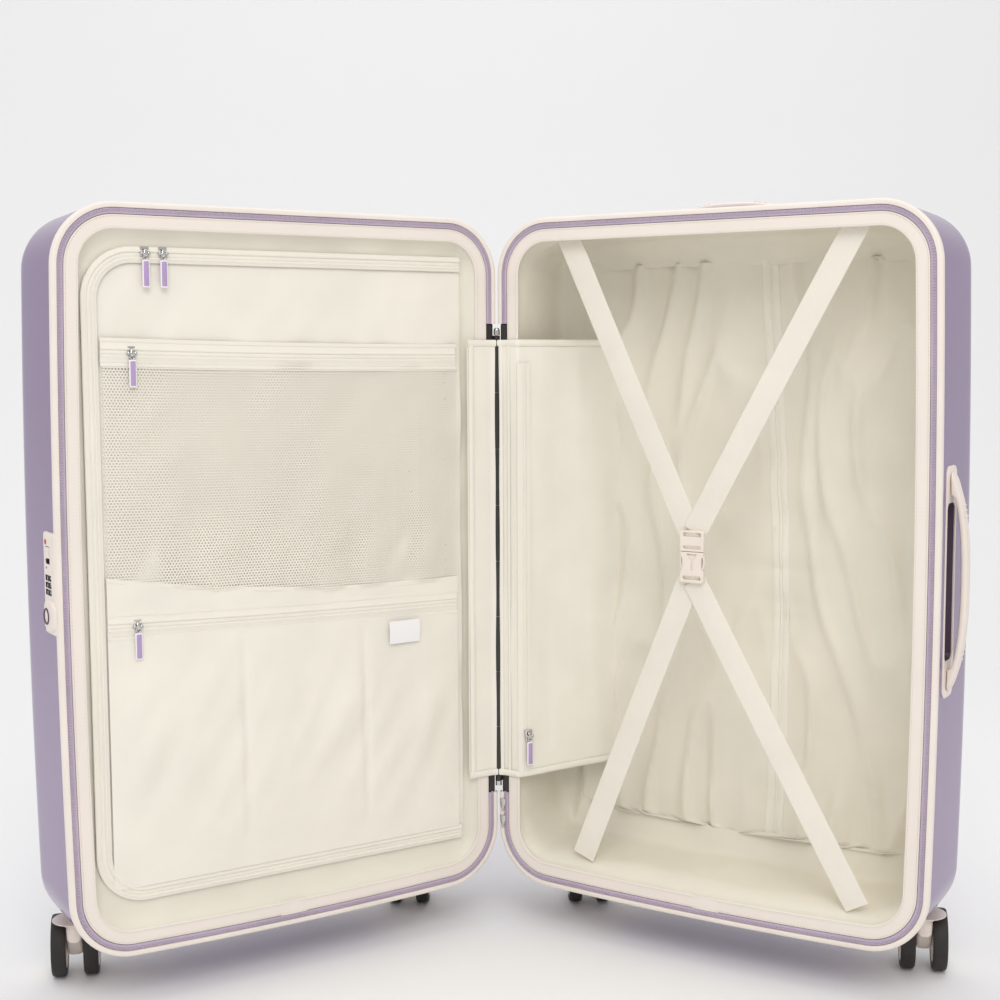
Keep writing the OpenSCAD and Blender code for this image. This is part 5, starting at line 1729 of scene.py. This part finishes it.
def build_lock():
    """Cream lock body with dial windows, a release slot, small marks and a bulged key socket."""
    z0, z1 = LOCK_LOW.z, LOCK_HIGH.z
    tall = z1 - z0
    wide = LOCK_HIGH.y - LOCK_LOW.y
    deep = 6.5 * MM
    body = Piece()
    body.block(Vector((wide, tall, deep)), lock_frame(LOCK_DEPTH + 1.5 * MM, (z0 + z1) / 2, -deep / 2),
               2.6 * MM, steps=4)
    case = body.finish("lock_body", [finish_of("cream_abs"), finish_of("recess_shade_abs")], smooth=40)
    keyhole = Vector(joint("key_turn")["pos_m"])
    dial_depth = (HALF["front"].inverted() @ DIAL_PLACES[0]).y
    dial_z = [p.z for p in DIAL_PLACES]
    # The cutter carries the dark recess finish: painted shade on the walls of the dial windows and the
    # release slot
    cutter = Piece()
    for z in dial_z:
        cutter.block(Vector((17.4 * MM, DIAL_THICK + 0.8 * MM, 17 * MM)),
                     lock_frame(dial_depth, z, -3 * MM))
    slot_low, slot_high = local_box("front", "lock_button")
    cutter.block(Vector((slot_high.y - slot_low.y + 0.8 * MM, 16 * MM, 10 * MM)),
                 lock_frame((slot_low.y + slot_high.y) / 2,
                            (slot_low.z + slot_high.z) / 2 - 2.4 * MM))
    cut(case, cutter.finish("lock_cuts", [finish_of("recess_shade_abs")]))
    shade(case, 40)
    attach(case, "front_half")
    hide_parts("lock_case")
    bulge = Piece()
    rows = []
    for inset, lift in ((0, -1.0), (0.2, 0.2), (1.2, 1.6), (3.0, 2.3), (5.0, 2.6), (6.2, 2.6)):
        loop = rounded_loop((-wide / 2 / MM + 2 + inset) * MM, (-14 + inset) * MM,
                            (wide / 2 / MM - 2 - inset) * MM, (15 - inset * 0.7) * MM, (9 - inset) * MM)
        centre = lock_frame(LOCK_DEPTH, keyhole.z)
        rows.append([centre @ Vector((x, y, lift * MM)) for x, y in loop])
    base_at = bulge.grid(rows, closed=True)
    bulge.cap(base_at + (len(rows) - 1) * len(rows[0]), len(rows[0]))
    key = lock_frame((HALF["front"].inverted() @ keyhole).y, keyhole.z)
    # The ring round the key cylinder and the small hole below the dials take the dark recess finish:
    # painted shade in their hollows
    bulge.turned([(5.4 * MM, 2.2 * MM), (6.2 * MM, 3.4 * MM), (7.2 * MM, 3.5 * MM),
                  (7.9 * MM, 2.2 * MM)], key, 1, 48, closed=True)
    bulge.turned([(0.01 * MM, 0.25 * MM), (0.9 * MM, 0.3 * MM), (1.0 * MM, 0.05 * MM)],
                 lock_frame(LOCK_DEPTH + 9 * MM, (dial_z[0] + slot_low.z) / 2), 1, 20)
    bulge.finish("lock_key_socket", [finish_of("cream_abs"), finish_of("recess_shade_abs")], "front_half",
                 slot="cream_plastic")
    dots = Piece()
    for mark, below_top, radius in ((0, 9, 2.6), (1, 18, 1.3), (1, 26, 1.3)):
        dots.turned([(0.01 * MM, 0.55 * MM), (radius * 0.8 * MM, 0.5 * MM), (radius * MM, 0.1 * MM)],
                    lock_frame(LOCK_DEPTH + 10 * MM, z1 - below_top * MM), mark, 28)
    dots.finish("lock_marks", [finish_of("red_enamel"), finish_of("zip_coil")], "front_half",
                slot="black_plastic")
    softened("lock_button", finish_of("cream_abs"), 0.5 * MM)
    softened("key_cylinder", finish_of("chrome"), 0.3 * MM)


def build_dials():
    """Knurled number wheels with small white figures."""
    font_size = 3.4 * MM
    for i, centre in enumerate(DIAL_PLACES, 1):
        node = f"dial_{i}"
        low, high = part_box(node)
        side_low, side_high = local_box("front", node)
        radius = (side_high.x - side_low.x) / 2
        half_t = (high.z - low.z) / 2
        middle = Vector((centre.x, centre.y, (low.z + high.z) / 2))
        piece = Piece()
        rows = []
        for h, inset in ((-half_t, 1.0 * MM), (-half_t + 0.4 * MM, 0), (half_t - 0.4 * MM, 0),
                         (half_t, 1.0 * MM)):
            ring_points = []
            for k, a in enumerate(turns(120)):
                notch = 0.45 * MM if k % 12 in (0, 1) else 0
                r = radius - inset - notch
                ring_points.append(middle + Vector((r * math.cos(a), r * math.sin(a), h)))
            rows.append(ring_points)
        piece.tube(rows)
        piece.finish(f"{node}_wheel", [finish_of("black_abs")], node, smooth=30, slot="black_plastic",
                     replaces=[node])
        out = axes("front")[0]
        facing = math.atan2(out.y, out.x)
        for k, around in enumerate(turns(10)):
            a = facing + around
            curve = bpy.data.curves.new(f"{node}_figure_{k}", "FONT")
            curve.body = str((k + 3 * i) % 10)
            curve.size = font_size
            curve.extrude = 0.06 * MM
            curve.align_x = "CENTER"
            curve.align_y = "CENTER"
            normal = Vector((math.cos(a), math.sin(a), 0))
            side = Vector((0, 0, 1)).cross(normal)
            m = Matrix((side, Vector((0, 0, 1)), normal)).transposed().to_4x4()
            m.translation = middle + normal * (radius + 0.02 * MM)
            figure = bpy.data.objects.new(curve.name, curve_mesh(curve, m, "white_enamel"))
            bpy.context.scene.collection.objects.link(figure)
            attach(figure, node)


# ---------- Casters ----------

WHEEL_RADIUS = 30 * MM
HUB_RADIUS = 23.5 * MM
WHEEL_INNER = 8.5 * MM
WHEEL_WIDTH = 13.5 * MM
TRAIL = 20 * MM


def caster_frame(name):
    """Matrix of a caster: Z is the swivel axis, X the axle, and Y the way it trails."""
    swivel = joint(f"{name}_caster_swivel")
    spin = joint(f"{name}_wheels_spin")
    foot = Vector((swivel["pos_m"][0], swivel["pos_m"][1], 0))
    axle = Vector((spin["pos_m"][0], spin["pos_m"][1], 0))
    trail = (axle - foot).normalized()
    across = trail.cross(Vector((0, 0, 1)))
    m = Matrix((across, trail, Vector((0, 0, 1)))).transposed().to_4x4()
    m.translation = foot
    return m


def build_fork(name):
    """Cream fork leg that flows from a round neck down to the axle boss between the wheels."""
    place = caster_frame(name)
    piece = Piece()
    flare = 4 * MM
    piece.turned([(0.01 * MM, 40 * MM), (6.6 * MM, 40.5 * MM), (7.4 * MM, 46 * MM), (7.5 * MM, 54 * MM),
                  (8.4 * MM, 56.5 * MM), (7.5 * MM + flare, 61.5 * MM), (0.01 * MM, 61.7 * MM)], place)
    rows = []
    for i in range(33):
        t = i / 32
        y = -7 * MM + (TRAIL + 9 * MM + 7 * MM) * t
        top = 54 * MM - 18 * MM * ramp((t - 0.30) / 0.55) - 6 * MM * ramp((t - 0.8) / 0.2)
        low = 41 * MM - 20 * MM * ramp(t / 0.62) + 9 * MM * ramp((t - 0.84) / 0.16)
        nose = math.sqrt(max(1 - (2 * t - 1) ** 8, 0.03))
        half_w = 7.2 * MM * (0.55 + 0.45 * nose)
        half_h = (top - low) / 2
        middle = Vector((0, y, (top + low) / 2))
        rows.append([place @ (middle + Vector((half_w * c, 0, half_h * s)))
                     for c, s in squared(28, 0.45)])
    piece.tube(rows)
    boss = place @ Matrix.Translation((0, TRAIL, WHEEL_RADIUS)) @ Matrix.Rotation(math.pi / 2, 4, "Y")
    piece.turned([(0.01 * MM, -7.5 * MM), (8.4 * MM, -7.5 * MM), (9.2 * MM, -6.6 * MM),
                  (9.2 * MM, 6.6 * MM), (8.4 * MM, 7.5 * MM), (0.01 * MM, 7.5 * MM)], boss)
    piece.finish(f"{name}_fork_leg", [finish_of("cream_abs")], f"{name}_caster", smooth=48,
                 slot="cream_plastic", replaces=[f"{name}_fork"])


def build_wheels(name):
    """Twin wheels: rubber tyres on cream hubs, with vented inner faces and dished outer caps."""
    place = caster_frame(name) @ Matrix.Translation((0, TRAIL, WHEEL_RADIUS))
    tyres, hubs = Piece(), Piece()
    for s in (-1, 1):
        turn = place @ Matrix.Rotation(s * math.pi / 2, 4, "Y")
        inner, outer = WHEEL_INNER / MM, (WHEEL_INNER + WHEEL_WIDTH) / MM
        r = WHEEL_RADIUS / MM
        h = HUB_RADIUS / MM
        profile = [(h, inner - 0.2), (r - 2.4, inner - 0.4), (r - 1.2, inner + 0.1),
                   (r - 0.35, inner + 1.4), (r - 0.05, inner + 3), (r, (inner + outer) / 2),
                   (r - 0.05, outer - 3), (r - 0.35, outer - 1.4), (r - 1.2, outer - 0.1),
                   (r - 2.4, outer + 0.3), (h, outer + 0.1)]
        tyres.turned([(a * MM, b * MM) for a, b in profile], turn, steps=72, closed=True)
        for k in range(2):
            groove = (inner + outer) / 2 + (-2.2 + 4.4 * k)
            tyres.turned([(r * MM - 0.05 * MM, (groove - 0.3) * MM), (r * MM + 0.06 * MM, groove * MM),
                          (r * MM - 0.05 * MM, (groove + 0.3) * MM)], turn, steps=72, closed=True)
        vented = [(h + 0.05, inner + 0.6), (h - 1.6, inner), (h - 2.8, inner), (h - 3.2, inner + 0.8),
                  (14.2, inner + 0.8), (13.6, inner), (7.0, inner), (6.6, inner - 0.4), (3.2, inner - 0.4)]
        dished = [(h + 0.05, outer - 0.8), (h - 1.0, outer + 0.1), (h - 2.2, outer - 0.2),
                  (h - 3.0, outer - 1.3), (14, outer - 1.9), (8.4, outer - 1.7), (7.6, outer - 0.6),
                  (6.2, outer - 0.2), (0.01, outer + 0.1)]
        for face in (vented, dished):
            hubs.grid([[turn @ Vector((a * MM * math.cos(q), a * MM * math.sin(q), b * MM))
                        for q in turns(72)] for a, b in face], closed=True)
        # The vents are thin black blocks on the hub face: painted shade where the openings are dark
        for k in range(12):
            spin = turn @ Matrix.Rotation(2 * math.pi * (k + 0.5) / 12, 4, "Z")
            hubs.block(Vector((4.6, 3.0, 0.5)) * MM,
                       spin @ Matrix.Translation((17.2 * MM, 0, (inner + 0.62) * MM)), 0.1 * MM, 1)
            hubs.block(Vector((6.0, 0.9, 1.0)) * MM,
                       turn @ Matrix.Rotation(2 * math.pi * k / 12, 4, "Z")
                       @ Matrix.Translation((17.2 * MM, 0, (inner + 0.5) * MM)), 0.2 * MM, 0)
        for k in range(5):
            spin = turn @ Matrix.Rotation(2 * math.pi * k / 5, 4, "Z")
            hubs.block(Vector((6.4, 2.4, 0.9)) * MM,
                       spin @ Matrix.Translation((12.2 * MM, 0, (outer - 1.5) * MM)), 0.4 * MM, 0)
    hubs.turned([(0.01 * MM, -9 * MM), (3 * MM, -9 * MM), (3 * MM, 9 * MM), (0.01 * MM, 9 * MM)],
                place @ Matrix.Rotation(math.pi / 2, 4, "Y"), 2)
    tyres.finish(f"{name}_tyre_pair", [finish_of("tyre_rubber")], f"{name}_wheels", slot="tyre",
                 replaces=[f"{name}_tyres"], weld=True)
    hubs.finish(f"{name}_hub_pair",
                [finish_of("cream_abs"), finish_of("black_abs"), finish_of("chrome")],
                f"{name}_wheels", slot="cream_plastic", replaces=[f"{name}_hubs"])


# ---------- Stage ----------

VIEW_TURN = math.radians(32)
CAMERA_PLACE = (0.8433, -1.3635, 0.605)
CAMERA_LENS = 55.5
CAMERA_YAW, CAMERA_PITCH, CAMERA_ROLL = (math.radians(d) for d in (-0.36, -5.38, -0.26))
WORLD_STRENGTH = 0.68


def area_light(name, place, target, size, watts, colour=(1, 1, 1)):
    """A rectangular light that faces a target."""
    light = bpy.data.lights.new(name, "AREA")
    light.shape = "RECTANGLE"
    light.size, light.size_y = size
    light.energy = watts
    light.color = colour
    obj = bpy.data.objects.new(name, light)
    obj.location = place
    obj.rotation_euler = (Vector(target) - Vector(place)).to_track_quat("-Z", "Y").to_euler()
    bpy.context.scene.collection.objects.link(obj)


def build_floor():
    """Pale floor that curves up into a backdrop."""
    piece = Piece()
    away = Vector((-math.sin(VIEW_TURN), math.cos(VIEW_TURN), 0))
    side = Vector((math.cos(VIEW_TURN), math.sin(VIEW_TURN), 0))
    rows = []
    sweep_up = [(1.2 + 1.2 * math.sin(a), 1.2 - 1.2 * math.cos(a))
                for a in (math.radians(10 * k) for k in range(1, 10))]
    for d, z in [(-4, 0), (1.2, 0)] + sweep_up + [(2.4, 5)]:
        rows.append([away * d + side * w + Vector((0, 0, z)) for w in (-5, -2, 0, 2, 5)])
    piece.grid(rows)
    material, _, _ = new_material("studio_paper", linear("#F2F2F2"), 0.95)
    floor = piece.finish("studio_floor", [material], smooth=180)


def build_stage():
    """Floor, soft light from above and in front, pale surroundings and the camera."""
    build_floor()
    scene = bpy.context.scene
    world = bpy.data.worlds.new("studio")
    scene.world = world
    world.use_nodes = True
    background = world.node_tree.nodes["Background"]
    background.inputs["Color"].default_value = (1, 1, 1, 1)
    background.inputs["Strength"].default_value = WORLD_STRENGTH
    area_light("key_light", (1.6, -2.2, 2.6), (0, 0, 0.35), (1.8, 1.8), 40, (1, 0.985, 0.96))
    area_light("fill_light", (-2.2, -1.2, 1.6), (0, 0, 0.35), (2.0, 2.0), 7, (0.95, 0.97, 1))
    area_light("top_light", (0, 0.2, 3.0), (0, 0, 0), (2.6, 2.6), 20)
    scene.view_settings.view_transform = "Standard"
    scene.view_settings.look = "None"
    camera = bpy.data.cameras.new("camera")
    camera.sensor_width = 36
    camera.lens = CAMERA_LENS
    obj = bpy.data.objects.new("camera", camera)
    turn = (Matrix.Rotation(VIEW_TURN + CAMERA_YAW, 4, "Z")
            @ Matrix.Rotation(math.pi / 2 + CAMERA_PITCH, 4, "X") @ Matrix.Rotation(CAMERA_ROLL, 4, "Z"))
    obj.matrix_world = Matrix.Translation(CAMERA_PLACE) @ turn
    scene.collection.objects.link(obj)
    scene.camera = obj


# ---------- Operators and panel ----------

def make_operator(idname, label, text, steps):
    """An operator class that runs the given builders in order."""

    def execute(self, context):
        for step in steps:
            step()
        return {"FINISHED"}

    return type(f"SUITCASE_OT_{idname}", (bpy.types.Operator,), {
        "__doc__": text, "bl_idname": f"suitcase.{idname}", "bl_label": label,
        "bl_options": {"REGISTER", "UNDO"}, "execute": execute})


CASTERS = [f"{half}_{place}" for half in ("back", "front") for place in ("inner", "outer")]


def both(builder):
    """A step that runs a builder for each half of the case."""
    return lambda: [builder(half) for half in ("back", "front")]


OPERATORS = [
    make_operator("shells", "Shells", "Builds the ribbed shells and their caster housings",
                  [both(build_shell), both(build_housing)]),
    make_operator("rims", "Rims", "Builds the rim beads, the zip and the stitched lips",
                  [both(build_rim), both(build_lip)]),
    make_operator("linings", "Linings", "Builds both loose fabric linings",
                  [both(build_lining), build_lining_seam]),
    make_operator("divider", "Divider", "Builds the hinged divider with its net and zipped pockets",
                  [build_divider, build_surround, build_net, build_pockets]),
    make_operator("flap", "Hinge flap", "Builds the cloth flap over the hinge", [build_flap]),
    make_operator("straps", "Packing straps", "Builds the crossed straps and their buckle",
                  [build_straps, build_buckle]),
    make_operator("sliders", "Zip sliders", "Builds the zip sliders and their pullers",
                  [build_zip_sliders]),
    make_operator("handles", "Carry handles", "Builds the arched handles and their recesses",
                  [build_handles]),
    make_operator("trolley", "Trolley and hinge", "Finishes the trolley and the hinge",
                  [build_trolley, build_hinge]),
    make_operator("lock", "Lock", "Builds the lock with its number dials", [build_lock, build_dials]),
    make_operator("casters", "Casters and feet", "Builds the twin-wheel casters and the side feet",
                  [lambda: [build_fork(n) for n in CASTERS], lambda: [build_wheels(n) for n in CASTERS],
                   both(build_feet)]),
    make_operator("stage", "Stage", "Builds the floor, the lights and the camera", [build_stage]),
]


class SUITCASE_PT_panel(bpy.types.Panel):
    """Lists the suitcase's builders"""

    bl_label = "Suitcase"
    bl_idname = "SUITCASE_PT_panel"
    bl_space_type = "VIEW_3D"
    bl_region_type = "UI"
    bl_category = "Suitcase"

    def draw(self, context):
        for operator in OPERATORS:
            self.layout.operator(operator.bl_idname)


CLASSES = [SuitcaseSizes, SuitcaseColours] + OPERATORS + [SUITCASE_PT_panel]


def register():
    """Adds the classes and the scene's two property groups."""
    for cls in CLASSES:
        bpy.utils.register_class(cls)
    bpy.types.Scene.suitcase_sizes = PointerProperty(type=SuitcaseSizes)
    bpy.types.Scene.suitcase_colours = PointerProperty(type=SuitcaseColours)


def unregister():
    """Takes away what register added."""
    del bpy.types.Scene.suitcase_sizes
    del bpy.types.Scene.suitcase_colours
    for cls in reversed(CLASSES):
        bpy.utils.unregister_class(cls)


def main():
    """Registers the add-on, builds every piece, and writes the two bounding boxes."""
    register()
    for operator in OPERATORS:
        name = operator.bl_idname.split(".")[1]
        if getattr(bpy.ops.suitcase, name)() != {"FINISHED"}:
            raise RuntimeError(f"{operator.bl_label} failed")


if __name__ == "__main__":
    main()
